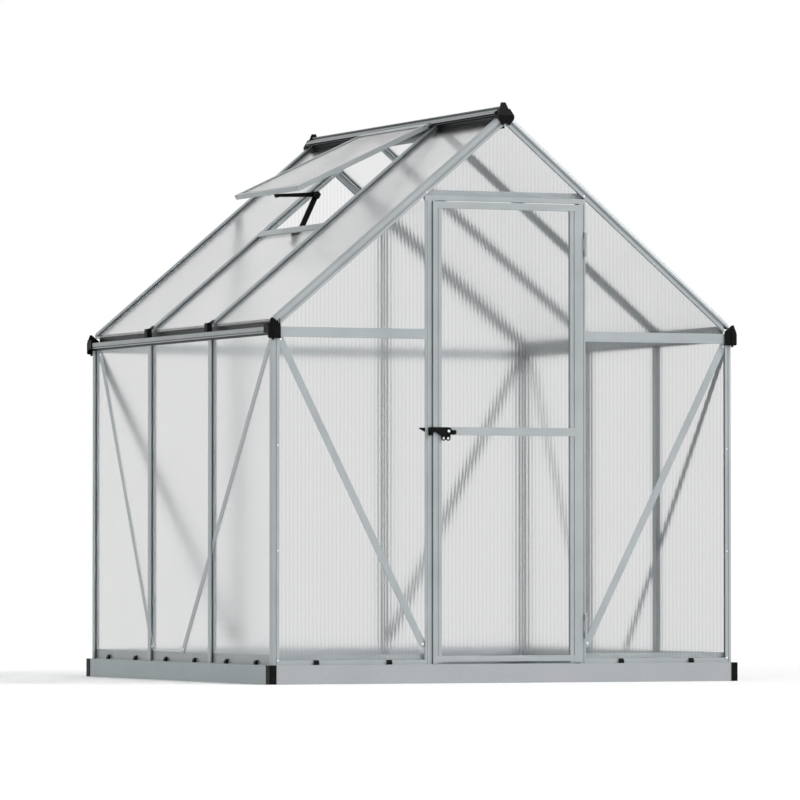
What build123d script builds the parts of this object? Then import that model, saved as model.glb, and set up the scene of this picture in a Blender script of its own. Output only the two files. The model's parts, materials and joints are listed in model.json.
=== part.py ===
from build123d import *

import os
from dataclasses import dataclass
from math import acos, atan2, cos, degrees, hypot, radians, sin, tan

# Small aluminium greenhouse with twin-wall panels, a hinged door and a roof vent.
# Millimetres. X runs right along the door front, Y runs back from the door, Z is up.
# The origin is on the ground at the centre of the plinth's footprint.

os.makedirs("parts", exist_ok=True)

# Plinth
width = 1850.0
length = 1850.0
plinth_height = 68.0
plinth_sheet = 2.0
plinth_top_flange = 45.0
plinth_foot_flange = 70.0
anchor_hole_radius = 4.5
anchor_edge = 13.0
anchor_spacing_y = 1200.0
plinth_cap_leg_front = 24.0
plinth_cap_leg_side = 36.0
plinth_cap_wall = 2.0
plinth_cap_round = 4.5

# Walls: depths are measured inward from the wall face
wall_inset = 14.0
eave_height = 1250.0
flange = 5.0
slot = 8.0
panel_thickness = 4.0
panel_gap = 1.0
seat = 3.0
stem = 4.0
stud_width = 26.0
stud_depth = 30.0
stud_edge_round = 1.2
corner_leg = 27.0
corner_round = 12.0
corner_groove = 13.0
corner_groove_width = 4.0
corner_groove_depth = 2.5
bays = 3
sill_floor = 3.0
sill_upstand = 36.0
sill_wall = 4.0
sill_lip = 17.0
tie_height = 36.0
tie_lift = 4.0

# Roof
roof_pitch = 40.0
roof_lift = 50.0
rafter_face = 35.0
rafter_groove_depth = 5.0
rafter_toe = 10.0
rafter_round = 11.0
gable_lip = 8.0
roof_leg = 30.0
rafter_tail_overhang = 17.0
panel_tail_overhang = 23.0
ridge_web = 12.0
ridge_sheet = 3.0
ridge_drop = 60.0
ridge_wing = 31.0
ridge_wing_slope = 25.0
ridge_wing_depth = 6.0
ridge_crown = 18.0
ridge_crown_rise = 20.0
ridge_crown_edge = 4.0
ridge_groove = 3.5
ridge_groove_depth = 2.5

# Gutters and the moulded end pieces
gutter_wall = 4.0
gutter_lip_height = 22.0
gutter_strip = 4.0
gutter_strip_inset = 1.0
gutter_line = 3.0
gutter_line_depth = 2.5
gutter_width = 44.0
wall_lip = 6.5
wall_lip_depth = 4.0
wall_lip_wall = 2.5
end_plate = 6.0
end_sleeve = 46.0
end_sleeve_wall = 4.0
end_plug_gap = 3.0
end_drop = 20.0
end_shoulder = 8.0
end_rib_width = 7.0
end_rib_proud = 2.0
end_rib_drop = 18.0
end_tab = 6.0
end_hood = 12.0
ridge_cap_depth = 30.0
ridge_cap_rise = 14.0
ridge_cap_neck = 15.0
ridge_cap_shoulder = 21.0
ridge_cap_shoulder_drop = 24.0
ridge_cap_side = 10.0
ridge_cap_lobe = 13.0
ridge_cap_lobe_drop = 7.0
ridge_cap_notch = 9.0
ridge_cap_lean_rise = 48.0
ridge_cap_set_back = 27.0
foot_clip_width = 26.0
foot_clip_wall = 3.0
foot_clip_depth = 20.0
foot_clip_reach = 3.0
clip_width = 18.0
clip_depth = 9.0
clip_height = 17.0
clip_toe = 8.0
clip_lip = 3.0

# Braces and small fasteners
brace_width = 26.0
brace_thickness = 3.0
brace_head_drop = 17.0
brace_foot_height = 140.0
brace_corner_gap = 33.0
brace_jamb_gap = 8.0
side_brace_front_foot = 32.0
side_brace_front_foot_height = 114.0
side_brace_back_head = 832.0
side_brace_back_foot_gap = 19.0
side_brace_back_foot_height = 122.0
notch_gap = 0.6
bolt_radius = 3.0
bolt_play = 0.2
bolt_head_radius = 5.0
bolt_head = 2.5
nut_radius = 4.8
nut_height = 3.0
screw_radius = 2.0
screw_head_radius = 3.6
screw_head = 2.0
screw_length = 6.0
screw_heights = (84.0, 475.0, 849.0)
header_screw_edge = 6.0

# Door opening and door leaf
opening_half = 292.0
jamb_width = 26.0
jamb_line = 17.0
jamb_line_width = 2.4
jamb_line_depth = 1.6
jamb_seat = 10.0
door_stop = 10.0
door_side_gap = 3.0
door_foot_gap = 3.0
door_head_gap = 4.0
header_drop = 15.9
header_face = 17.0
header_web_low = 4.0
header_back = 38.0
leaf_proud = 6.0
leaf_depth = 18.0
stile_width = 34.0
stile_outer = 18.0
stile_line_width = 2.4
stile_line_depth = 1.6
lap = 1.2
groove_depth = 10.0
groove_play = 0.2
groove_front = 10.0
top_rail_height = 24.0
bottom_rail_height = 21.0
bottom_rail_foot = 77.0
mid_rail_height = 29.0
mid_rail_centre = 905.5

# Door hinges
hinge_wing = 17.0
hinge_wing_gap = 0.4
hinge_axis_gap = 8.0
hinge_axis_proud = 3.0
knuckle_radius = 5.0
hinge_pin_radius = 2.5
hinge_running_gap = 0.05
hinge_seat_gap = 0.02
knuckle_height = 88.0
knuckle_middle = 40.0
knuckle_end_gap = 0.4
hinge_plate = 1.6
hinge_foot_rise = 132.0
hinge_head_drop = 143.0
hinge_pin_head = 2.0

# Latch
latch_pivot_x = 231.0
latch_plate_thickness = 2.0
latch_lever_thickness = 4.0
latch_side_gap = 0.3
latch_pin_radius = 3.0
latch_hub_radius = 13.0
latch_tip_reach = 76.0
latch_arm_top = 13.5
latch_arm_height = 16.0
latch_arm_root = 18.0
latch_nose_rise = 2.0
latch_nose_drop = 8.0
latch_hook = 20.0
latch_hook_drop = 6.0
latch_hook_slope = 4.0
latch_eye_radius = 9.0
latch_eye_bore = 5.0
latch_eye_drop = 26.0
latch_lever_eye_back = 19.0
latch_knob_radius = 7.5
latch_knob_forward = 22.0
latch_knob_drop = 4.0
latch_knob_length = 7.5
latch_head_radius = 5.0
latch_head = 2.0
latch_drop = 3.0
keeper_gap = 0.8
keeper_top_drop = 2.0
keeper_wall = 2.4
keeper_width = 13.0
keeper_tab = 22.0
keeper_tab_tip = 4.0
keeper_tab_root = 3.0
keeper_play = 1.0

# Roof vent, in its photographed open position
vent_open = 14.8
vent_length = 588.0
vent_side_lap = 9.0
vent_frame_top = 8.0
vent_frame_under = 10.0
vent_rail = 18.0
vent_groove = 8.0
vent_panel_low = 1.0
vent_hinge_out = 29.0
vent_hinge_rise = 13.0
bead_radius = 4.0
bead_play = 0.08
socket_wall = 3.0
bead_neck = 3.0
socket_mouth_low = 0.0
socket_mouth_high = 66.0
hinge_rail_start = 8.5
hinge_rail_step = 17.0
hinge_rail_width = 26.0
sill_bar_lap = 15.0
sill_bar_width = 34.0
sill_bar_seat = 20.0

# Vent stay
stay_vent_pivot_back = 30.0
stay_vent_pivot_drop = 24.0
stay_foot_along = 17.0
stay_foot_drop = 55.0
stay_lower_arm = 209.8
stay_upper_arm = 165.4
stay_lower_width = 20.0
stay_upper_tip = 11.0
stay_upper_root = 18.0
stay_arm_thickness = 7.0
stay_side_gap = 0.4
stay_pin_radius = 3.0
stay_running_gap = 0.05
stay_eye_play = 2.8
stay_eye_radius = 11.0
stay_lug_radius = 9.0
stay_foot_plate = 2.0
stay_block_back = 22.0
stay_block_front = 9.0
stay_block_rise = 11.0
stay_block_drop = 17.0
stay_knob_length = 14.0
stay_knob_seat_gap = 0.02
stay_knob_socket = 8.0

# Worked-out places
half_x = width / 2 - wall_inset
half_y = length / 2 - wall_inset
seat_depth = flange + slot
panel_depth = seat_depth - panel_thickness
core = seat_depth + seat
pitch = radians(roof_pitch)
apex = eave_height + roof_lift + half_x * tan(pitch)
wall_top = eave_height - wall_lip
brace_end_height = wall_top - brace_head_drop
tie_centre = eave_height + tie_lift
gutter_outer = width / 2
gutter_inner = gutter_outer - gutter_width
rafter_tail = gutter_inner + rafter_tail_overhang
panel_tail = gutter_inner + panel_tail_overhang
ridge_half = ridge_web / 2
jamb_outer = opening_half + jamb_width
header_underside = apex - rafter_face / cos(pitch) - jamb_outer * tan(pitch) - header_drop
leaf_half = opening_half - door_side_gap
leaf_face_y = -half_y - leaf_proud
leaf_foot = plinth_height + door_foot_gap
leaf_top = header_underside - door_head_gap
hinge_heights = (leaf_foot + hinge_foot_rise, leaf_top - hinge_head_drop)
wing_edge = leaf_half + hinge_wing
hinge_x = wing_edge + hinge_axis_gap
hinge_y = leaf_face_y - hinge_axis_proud
leaf_pitch = pitch - radians(vent_open)


@dataclass(frozen=True)
class Wall:
    """One upright wall: its turn about Z, its face distance and half its length."""

    turn: float
    face: float
    reach: float

    def frame(self):
        return Plane.XY.rotated((0, 0, self.turn))

    def upright(self, along, height):
        """Level plane at the wall face: x along the wall, y inward."""
        frame = self.frame()
        spot = frame.from_local_coords((along, -self.face, height))
        return Plane(origin=spot, x_dir=frame.x_dir, z_dir=(0, 0, 1))

    def lengthwise(self, along):
        """Cross plane at the wall face: x inward, y up, normal along the wall."""
        frame = self.frame()
        spot = frame.from_local_coords((along, -self.face, 0))
        return Plane(origin=spot, x_dir=frame.y_dir, z_dir=frame.x_dir)

    def facing(self, depth):
        """Plane parallel to the wall: x along it, y up, normal outward."""
        frame = self.frame()
        spot = frame.from_local_coords((0, -self.face + depth, 0))
        return Plane(origin=spot, x_dir=frame.x_dir, z_dir=-frame.y_dir)


front_wall = Wall(0, half_y, half_x)
right_wall = Wall(90, half_x, half_y)
back_wall = Wall(180, half_y, half_x)
left_wall = Wall(270, half_x, half_y)
walls = (front_wall, right_wall, back_wall, left_wall)
sides = (-1, 1)


def roof_z(out, depth):
    """Height of the roof at a distance out from the ridge line, depth square to the slope."""
    return apex - depth / cos(pitch) - out * tan(pitch)


def roof_out(height, depth):
    """Distance out from the ridge line where the roof layer has a given height."""
    return (apex - depth / cos(pitch) - height) / tan(pitch)


def roof_point(along, depth):
    """Distance out and height of a point along the slope from the ridge line."""
    return along * cos(pitch) - depth * sin(pitch), apex - along * sin(pitch) - depth * cos(pitch)


def cross_plane(y):
    """Upright plane across the building: x right, y up, normal towards the front."""
    return Plane(origin=(0, y, 0), x_dir=(1, 0, 0), z_dir=(0, -1, 0))


def bar(plane, outline, amount, mode=Mode.ADD, rounds=()):
    """Extrude a closed outline; rounds holds (corner, radius) pairs."""
    with BuildSketch(plane) as section:
        with BuildLine():
            Polyline(*outline, close=True)
        make_face()
        for corner, radius in rounds:
            fillet(section.vertices().sort_by_distance(Vector(*corner))[0], radius)
    extrude(section.sketch, amount=amount, mode=mode)


def rod(plane, centre, radius, amount, mode=Mode.ADD):
    """Extrude a circle."""
    with BuildSketch(plane) as section:
        with Locations(centre):
            Circle(radius)
    extrude(section.sketch, amount=amount, mode=mode)


def block(low, high, mode=Mode.ADD):
    """Axis-aligned box between two corners."""
    middle = [(a + b) / 2 for a, b in zip(low, high)]
    spans = [b - a for a, b in zip(low, high)]
    with Locations(tuple(middle)):
        Box(*spans, mode=mode)


def rectangle(x0, x1, y0, y1):
    return [(x0, y0), (x1, y0), (x1, y1), (x0, y1)]


def save(piece, name):
    piece.part.label = name
    export_step(piece.part, f"parts/{name}.step")


# Plinth rails: folded channels, mitred at the corners
def plinth_outline():
    face = -wall_inset
    top_edge = face + plinth_top_flange
    foot_edge = face + plinth_foot_flange
    under_top = plinth_height - plinth_sheet
    web = face + plinth_sheet
    return [
        (face, 0),
        (foot_edge, 0),
        (foot_edge, plinth_sheet),
        (web, plinth_sheet),
        (web, under_top),
        (top_edge, under_top),
        (top_edge, plinth_height),
        (face, plinth_height),
    ]


def plinth_rail(wall):
    """One rail with its two mitres and, on the side rails, two anchor holes."""
    reach = wall.reach + wall_inset
    frame = wall.frame()
    with BuildPart() as rail:
        bar(wall.lengthwise(-reach), plinth_outline(), 2 * reach)
        for end in sides:
            corner = frame.from_local_coords((end * reach, -wall.face - wall_inset, 0))
            away = frame.from_local_coords((end, 1, 0))
            split(bisect_by=Plane(origin=corner, z_dir=away), keep=Keep.BOTTOM)
        if wall.turn in (right_wall.turn, left_wall.turn):
            inset = plinth_foot_flange - wall_inset - anchor_edge
            for along in (-anchor_spacing_y / 2, anchor_spacing_y / 2):
                rod(wall.upright(0, 0), (along, inset), anchor_hole_radius, plinth_sheet, Mode.SUBTRACT)
    return rail


plinth_names = ("plinth_rail_front", "plinth_rail_right", "plinth_rail_back", "plinth_rail_left")
for wall, name in zip(walls, plinth_names):
    save(plinth_rail(wall), name)

with BuildPart() as plinth_corner_caps:
    inner = -wall_inset
    outer = inner - plinth_cap_wall
    for wall in walls:
        across = wall.turn in (front_wall.turn, back_wall.turn)
        leg_along = inner + (plinth_cap_leg_front if across else plinth_cap_leg_side)
        leg_in = inner + (plinth_cap_leg_side if across else plinth_cap_leg_front)
        outline = [
            (outer, outer),
            (leg_along, outer),
            (leg_along, inner),
            (inner, inner),
            (inner, leg_in),
            (outer, leg_in),
        ]
        rounds = [((outer, outer), plinth_cap_round)]
        bar(wall.upright(-wall.reach, 0), outline, plinth_height, rounds=rounds)
save(plinth_corner_caps, "plinth_corner_caps")


# Upright posts
def stud_outline():
    edge = stud_width / 2
    half = stem / 2
    return [
        (-edge, 0),
        (edge, 0),
        (edge, flange),
        (half, flange),
        (half, seat_depth),
        (edge, seat_depth),
        (edge, core),
        (half, core),
        (half, stud_depth),
        (-half, stud_depth),
        (-half, core),
        (-edge, core),
        (-edge, seat_depth),
        (-half, seat_depth),
        (-half, flange),
        (-edge, flange),
    ]


stud_rounds = [((-stud_width / 2, 0), stud_edge_round), ((stud_width / 2, 0), stud_edge_round)]


def corner_outline():
    leg = [
        (corner_groove, 0),
        (corner_groove + corner_groove_width / 2, corner_groove_depth),
        (corner_groove + corner_groove_width, 0),
        (corner_leg, 0),
        (corner_leg, flange),
        (core, flange),
        (core, seat_depth),
        (corner_leg, seat_depth),
        (corner_leg, core),
    ]
    return [(0, 0)] + leg + [(core, core)] + [(y, x) for x, y in reversed(leg)]


screw_along = (core + corner_leg) / 2


def gable_screw_sides(wall):
    """Ends of a gable wall whose corner posts carry frame screws."""
    return [end * (wall.reach - screw_along) for end in sides]


with BuildPart() as corner_posts:
    for wall in walls:
        rounds = [((0, 0), corner_round)]
        bar(
            wall.upright(-wall.reach, plinth_height),
            corner_outline(),
            wall_top - plinth_height,
            rounds=rounds,
        )
    for wall in (front_wall, back_wall):
        for along in gable_screw_sides(wall):
            for height in screw_heights:
                rod(
                    wall.facing(flange),
                    (along, height),
                    screw_radius + bolt_play,
                    flange,
                    Mode.SUBTRACT,
                )
save(corner_posts, "corner_posts")


# Braces run just outside the panels, behind the post flanges
@dataclass(frozen=True)
class Brace:
    """A flat diagonal bar on one wall, from its head to its foot."""

    wall: Wall
    head: tuple
    foot: tuple

    def middle(self):
        return (self.head[0] + self.foot[0]) / 2, (self.head[1] + self.foot[1]) / 2

    def span(self):
        return hypot(self.head[0] - self.foot[0], self.head[1] - self.foot[1])

    def lean(self):
        return degrees(atan2(self.head[1] - self.foot[1], self.head[0] - self.foot[0]))


def gable_braces(wall, foot_along):
    head_along = wall.reach - brace_corner_gap
    return [
        Brace(wall, (end * head_along, brace_end_height), (end * foot_along, brace_foot_height))
        for end in sides
    ]


def side_braces(wall, door_end):
    head_along = wall.reach - brace_corner_gap
    stud = wall.reach / bays
    back_foot = stud - side_brace_back_foot_gap
    front_foot = (door_end * side_brace_front_foot, side_brace_front_foot_height)
    return [
        Brace(wall, (door_end * head_along, brace_end_height), front_foot),
        Brace(
            wall,
            (-door_end * side_brace_back_head, brace_end_height),
            (-door_end * back_foot, side_brace_back_foot_height),
        ),
    ]


front_foot_along = jamb_outer + brace_jamb_gap
back_foot_along = half_x / bays + stud_width / 2 + brace_jamb_gap
front_pair = gable_braces(front_wall, front_foot_along)
back_pair = gable_braces(back_wall, back_foot_along)
left_pair = side_braces(left_wall, 1)
right_pair = side_braces(right_wall, -1)
all_braces = front_pair + back_pair + left_pair + right_pair


def brace_bar(brace, extra, deep, mode=Mode.ADD):
    """Round-ended bar; extra widens it and deep thickens it both ways for a notch."""
    with BuildSketch(brace.wall.facing(panel_depth + deep)) as section:
        with Locations(brace.middle()):
            SlotCenterToCenter(brace.span(), brace_width + 2 * extra, rotation=brace.lean())
    extrude(section.sketch, amount=brace_thickness + 2 * deep, mode=mode)


def brace_holes(brace, depth, amount):
    for spot in (brace.head, brace.foot):
        rod(brace.wall.facing(depth), spot, bolt_radius + bolt_play, amount, Mode.SUBTRACT)


brace_groups = {
    "braces_gables": front_pair + back_pair,
    "braces_sides": left_pair + right_pair,
}
for name, group in brace_groups.items():
    with BuildPart() as braces:
        for brace in group:
            brace_bar(brace, 0, 0)
            brace_holes(brace, panel_depth, brace_thickness)
    save(braces, name)

with BuildPart() as wall_posts_sides:
    for wall in (left_wall, right_wall):
        for end in sides:
            bar(
                wall.upright(end * wall.reach / bays, plinth_height),
                stud_outline(),
                wall_top - plinth_height,
                rounds=stud_rounds,
            )
    for brace in left_pair + right_pair:
        brace_bar(brace, notch_gap, notch_gap, Mode.SUBTRACT)
save(wall_posts_sides, "wall_posts_sides")


def under_rafters(end):
    """Plane along the underside of a gable rafter's face."""
    normal = (end * sin(pitch), 0, cos(pitch))
    return Plane(origin=(0, 0, roof_z(0, rafter_face)), z_dir=normal)


with BuildPart() as wall_posts_back:
    for end in sides:
        bar(
            back_wall.upright(end * half_x / bays, plinth_height),
            stud_outline(),
            apex,
            rounds=stud_rounds,
        )
    for end in sides:
        split(bisect_by=under_rafters(end), keep=Keep.BOTTOM)
save(wall_posts_back, "wall_posts_back")


def jamb_outline(end):
    inner = end * opening_half

    def out(distance):
        return inner + end * distance

    return [
        (out(0), 0),
        (out(jamb_line), 0),
        (out(jamb_line + jamb_line_width / 2), jamb_line_depth),
        (out(jamb_line + jamb_line_width), 0),
        (out(jamb_width), 0),
        (out(jamb_width), flange),
        (out(stem), flange),
        (out(stem), seat_depth),
        (out(stem + jamb_seat), seat_depth),
        (out(stem + jamb_seat), core),
        (out(stem), core),
        (out(stem), stud_depth),
        (out(0), stud_depth),
        (out(0), core),
        (out(-door_stop), core),
        (out(-door_stop), seat_depth),
        (out(0), seat_depth),
    ]


with BuildPart() as door_jambs:
    for end in sides:
        bar(front_wall.upright(0, plinth_height), jamb_outline(end), header_underside - plinth_height)
save(door_jambs, "door_jambs")


# Horizontal rails: sills, ties and door header
@dataclass(frozen=True)
class Bay:
    """A panel's bay on a wall: where its rails end and where its panel ends."""

    wall: Wall
    rail: tuple
    panel: tuple


def even_bays(wall):
    """Bays of a wall divided by studs at equal spacing."""
    found = []
    pitch_along = 2 * wall.reach / bays
    for index in range(bays):
        low = -wall.reach + index * pitch_along
        high = low + pitch_along
        rail_low = low + (corner_leg if index == 0 else stud_width / 2)
        rail_high = high - (corner_leg if index == bays - 1 else stud_width / 2)
        panel_low = low + (core if index == 0 else stem / 2) + panel_gap
        panel_high = high - (core if index == bays - 1 else stem / 2) - panel_gap
        found.append(Bay(wall, (rail_low, rail_high), (panel_low, panel_high)))
    return found


def door_side_bays():
    rail = (jamb_outer, half_x - corner_leg)
    panel = (opening_half + stem + panel_gap, half_x - core - panel_gap)
    return [
        Bay(front_wall, (-rail[1], -rail[0]), (-panel[1], -panel[0])),
        Bay(front_wall, rail, panel),
    ]


left_bays = even_bays(left_wall)
right_bays = even_bays(right_wall)
back_bays = even_bays(back_wall)
front_bays = door_side_bays()
sill_top = plinth_height + sill_floor


def sill_outline(lipped):
    toe = 0 if lipped else panel_depth
    points = [
        (toe, plinth_height),
        (corner_leg, plinth_height),
        (corner_leg, sill_top),
        (seat_depth + sill_wall, sill_top),
        (seat_depth + sill_wall, plinth_height + sill_upstand),
        (seat_depth, plinth_height + sill_upstand),
        (seat_depth, sill_top),
    ]
    if not lipped:
        return points + [(toe, sill_top)]
    lip_top = plinth_height + sill_lip
    return points + [(flange, sill_top), (flange, lip_top), (toe, lip_top)]


sill_groups = {
    "sill_rails_sides": left_bays + right_bays,
    "sill_rails_back": back_bays,
    "sill_rails_front": front_bays,
}
for name, group in sill_groups.items():
    with BuildPart() as sill_rails:
        for bay in group:
            low, high = bay.rail
            bar(bay.wall.lengthwise(low), sill_outline(bay.wall is front_wall), high - low)
    save(sill_rails, name)


def tie_outline():
    low = tie_centre - tie_height / 2
    high = tie_centre + tie_height / 2
    web_low = tie_centre - stem / 2
    web_high = tie_centre + stem / 2
    return [
        (0, low),
        (flange, low),
        (flange, web_low),
        (seat_depth, web_low),
        (seat_depth, low),
        (core, low),
        (core, high),
        (seat_depth, high),
        (seat_depth, web_high),
        (flange, web_high),
        (flange, high),
        (0, high),
    ]


with BuildPart() as tie_rails_front:
    for start in (-gutter_inner, jamb_outer):
        bar(front_wall.lengthwise(start), tie_outline(), gutter_inner - jamb_outer)
save(tie_rails_front, "tie_rails_front")

with BuildPart() as tie_rails_back:
    stud_edge = half_x / bays + stud_width / 2
    bar(back_wall.lengthwise(-gutter_inner), tie_outline(), gutter_inner - stud_edge)
    bar(back_wall.lengthwise(stud_edge), tie_outline(), gutter_inner - stud_edge)
    middle_half = half_x / bays - stud_width / 2
    bar(back_wall.lengthwise(-middle_half), tie_outline(), 2 * middle_half)
save(tie_rails_back, "tie_rails_back")

header_web_top = header_underside + header_web_low + stem


def header_outline():
    foot = header_underside
    web_low = foot + header_web_low
    return [
        (0, foot),
        (flange, foot),
        (flange, web_low),
        (seat_depth, web_low),
        (seat_depth, foot),
        (core, foot),
        (core, foot + header_back),
        (seat_depth, foot + header_back),
        (seat_depth, header_web_top),
        (flange, header_web_top),
        (flange, foot + header_face),
        (0, foot + header_face),
    ]


with BuildPart() as door_header:
    bar(front_wall.lengthwise(-jamb_outer), header_outline(), 2 * jamb_outer)
    for end in sides:
        split(bisect_by=under_rafters(end), keep=Keep.BOTTOM)
save(door_header, "door_header")


# Roof members: strips of the slope between two depths
def strip(side, depths, outs):
    near, far = outs
    top, under = depths
    return [
        (side * near, roof_z(near, top)),
        (side * far, roof_z(far, top)),
        (side * far, roof_z(far, under)),
        (side * near, roof_z(near, under)),
    ]


full_run = (ridge_half, rafter_tail)
short_run = (ridge_half, gutter_inner - panel_gap)


header_screw_out = jamb_outer - header_screw_edge
header_screw_height = roof_z(header_screw_out, rafter_face - rafter_toe / 2)


def gable_rafter(rafters, end, side):
    """Add an end rafter; end is -1 at the door gable and 1 at the back."""

    def layer(depths_in, depths, outs):
        start, stop = depths_in
        edge = end * (half_y - start)
        far = end * (half_y - stop)
        bar(cross_plane(max(edge, far)), strip(side, depths, outs), stop - start)

    groove_end = rafter_face - rafter_toe
    middle = (ridge_half + rafter_tail) / 2
    layer((0, core), (0, core), full_run)
    outer_edge = Vector(side * middle, end * half_y, roof_z(middle, 0))
    fillet(rafters.edges().sort_by_distance(outer_edge)[0], rafter_round)
    layer((core, roof_leg), (0, flange), full_run)
    layer((core, roof_leg), (seat_depth, core), full_run)
    layer((rafter_groove_depth, gable_lip), (core, groove_end), short_run)
    layer((0, gable_lip), (groove_end, rafter_face), short_run)
    layer((seat_depth, core), (core, rafter_face - panel_gap), short_run)


with BuildPart() as gable_rafters_front:
    for side in sides:
        gable_rafter(gable_rafters_front, -1, side)
        spot = (side * header_screw_out, header_screw_height)
        rod(
            front_wall.facing(screw_length),
            spot,
            screw_radius + bolt_play,
            screw_length,
            Mode.SUBTRACT,
        )
save(gable_rafters_front, "gable_rafters_front")

with BuildPart() as gable_rafters_back:
    for side in sides:
        gable_rafter(gable_rafters_back, 1, side)
save(gable_rafters_back, "gable_rafters_back")

roof_stud_y = half_y / bays


def roof_rafter_layers(side, y):
    """One intermediate rafter, made of its flange, stem, seat and fin."""
    layers = (
        (stud_width, (0, flange), full_run),
        (stem, (flange, seat_depth), full_run),
        (stud_width, (seat_depth, core), full_run),
        (stem, (core, stud_depth), short_run),
    )
    for wide, depths, outs in layers:
        bar(cross_plane(y + wide / 2), strip(side, depths, outs), wide)


with BuildPart() as roof_rafters:
    for side in sides:
        for end in sides:
            roof_rafter_layers(side, end * roof_stud_y)
save(roof_rafters, "roof_rafters")

# Ridge beam with a bead socket along each side for a vent
vent_hinge_z = roof_z(vent_hinge_out, -vent_hinge_rise)
socket_bore = bead_radius + bead_play


def ridge_outline():
    """Crown, a groove under it, a thin wing to each side and the web below."""
    crown = apex + ridge_crown_rise
    groove_top = crown - ridge_crown_edge
    groove_foot = groove_top - ridge_groove
    groove_in = ridge_crown / 2 - ridge_groove_depth
    tip = groove_foot - (ridge_wing - groove_in) * tan(radians(ridge_wing_slope))
    half_outline = [
        (ridge_crown / 2, crown),
        (ridge_crown / 2, groove_top),
        (groove_in, groove_top),
        (groove_in, groove_foot),
        (ridge_wing, tip),
        (ridge_wing, tip - ridge_wing_depth),
        (ridge_half, groove_foot - ridge_wing_depth),
        (ridge_half, apex - ridge_drop),
    ]
    return half_outline + [(-x, z) for x, z in reversed(half_outline)]


ridge_reach = half_y + end_plate - ridge_cap_depth


def mouth(side, angle):
    """Point well outside the socket, at an angle below level on the given side."""
    reach = 2 * (socket_bore + socket_wall)
    return (
        side * (vent_hinge_out + reach * cos(radians(angle))),
        vent_hinge_z - reach * sin(radians(angle)),
    )


with BuildPart() as ridge_beam:
    with BuildSketch(cross_plane(ridge_reach)) as section:
        with BuildLine():
            Polyline(*ridge_outline(), close=True)
        make_face()
        slot_half = ridge_half - ridge_sheet
        slot_top = apex + ridge_crown_rise - 2 * ridge_sheet
        with BuildLine():
            Polyline(*rectangle(-slot_half, slot_half, apex - ridge_drop, slot_top), close=True)
        make_face(mode=Mode.SUBTRACT)
        for side in sides:
            with Locations((side * vent_hinge_out, vent_hinge_z)):
                Circle(socket_bore + socket_wall)
                Circle(socket_bore, mode=Mode.SUBTRACT)
            with BuildLine():
                Polyline(
                    (side * vent_hinge_out, vent_hinge_z),
                    mouth(side, socket_mouth_low),
                    mouth(side, (socket_mouth_low + socket_mouth_high) / 2),
                    mouth(side, socket_mouth_high),
                    close=True,
                )
            make_face(mode=Mode.SUBTRACT)
    extrude(section.sketch, amount=2 * ridge_reach)
save(ridge_beam, "ridge_beam")

cap_wing = ridge_wing + panel_gap
cap_web_foot = roof_z(0, rafter_face - panel_gap)


def ridge_cap_outline(foot_points):
    """Spade shape over the ridge, closed below by the given points on its positive side."""
    top = apex + ridge_crown_rise + ridge_cap_rise
    shoulder = top - ridge_cap_shoulder_drop
    side_points = [
        (ridge_crown / 2, top),
        (ridge_cap_neck, shoulder),
        (ridge_cap_shoulder, shoulder),
        (cap_wing, roof_z(cap_wing, 0) + ridge_cap_side),
        (cap_wing, roof_z(cap_wing, 0)),
    ]
    half_outline = side_points + foot_points
    return half_outline + [(-x, z) for x, z in reversed(half_outline) if x > 0]


with BuildPart() as ridge_end_caps:
    lobe_foot = cap_web_foot - ridge_cap_lobe_drop
    plate_foot = [(ridge_cap_lobe, lobe_foot), (0, lobe_foot + ridge_cap_notch)]
    sleeve_foot = [(ridge_half, roof_z(ridge_half, 0)), (ridge_half, cap_web_foot)]
    for end in sides:
        plate_front = end * (half_y + end_plate)
        plate_top = max(plate_front, end * half_y)
        bar(cross_plane(plate_top), ridge_cap_outline(plate_foot), end_plate)
        sleeve_top = max(end * half_y, end * ridge_reach)
        bar(cross_plane(sleeve_top), ridge_cap_outline(sleeve_foot), half_y - ridge_reach)
    for end in sides:
        lean_foot = apex + ridge_crown_rise + ridge_cap_rise - ridge_cap_lean_rise
        lean = Plane(
            origin=(0, end * (half_y + end_plate), lean_foot),
            z_dir=(0, end * ridge_cap_lean_rise, ridge_cap_set_back),
        )
        split(bisect_by=lean, keep=Keep.BOTTOM)
save(ridge_end_caps, "ridge_end_caps")


# Gutters along both eaves
gutter_back = roof_z(gutter_inner + gutter_wall, core)
gutter_reach = half_y - core
lip_top = eave_height + gutter_lip_height


def gutter_outline(side):
    line_low = eave_height + gutter_strip
    strip_out = gutter_outer - gutter_strip_inset
    lip_out = half_x - wall_lip_depth
    seat_out = half_x - seat_depth
    points = [
        (strip_out, eave_height),
        (strip_out, line_low),
        (gutter_outer - gutter_line_depth, line_low),
        (gutter_outer - gutter_line_depth, line_low + gutter_line),
        (gutter_outer, line_low + gutter_line),
        (gutter_outer, lip_top),
        (gutter_outer - gutter_wall, lip_top),
        (gutter_outer - gutter_wall, eave_height + gutter_wall),
        (gutter_inner + gutter_wall, eave_height + gutter_wall),
        (gutter_inner + gutter_wall, gutter_back),
        (gutter_inner, gutter_back),
        (gutter_inner, eave_height),
        (seat_out - seat, eave_height),
        (seat_out - seat, wall_top),
        (seat_out, wall_top),
        (seat_out, eave_height),
        (lip_out - wall_lip_wall, eave_height),
        (lip_out - wall_lip_wall, wall_top),
        (lip_out, wall_top),
        (lip_out, eave_height),
    ]
    return [(side * x, z) for x, z in points]


for side, name in ((-1, "gutter_left"), (1, "gutter_right")):
    with BuildPart() as gutter:
        bar(cross_plane(gutter_reach), gutter_outline(side), 2 * gutter_reach)
    save(gutter, name)


cap_outer = gutter_outer + end_sleeve_wall
cap_foot = eave_height - end_drop
cap_peak = roof_z(half_x, 0) + end_sleeve_wall


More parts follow.
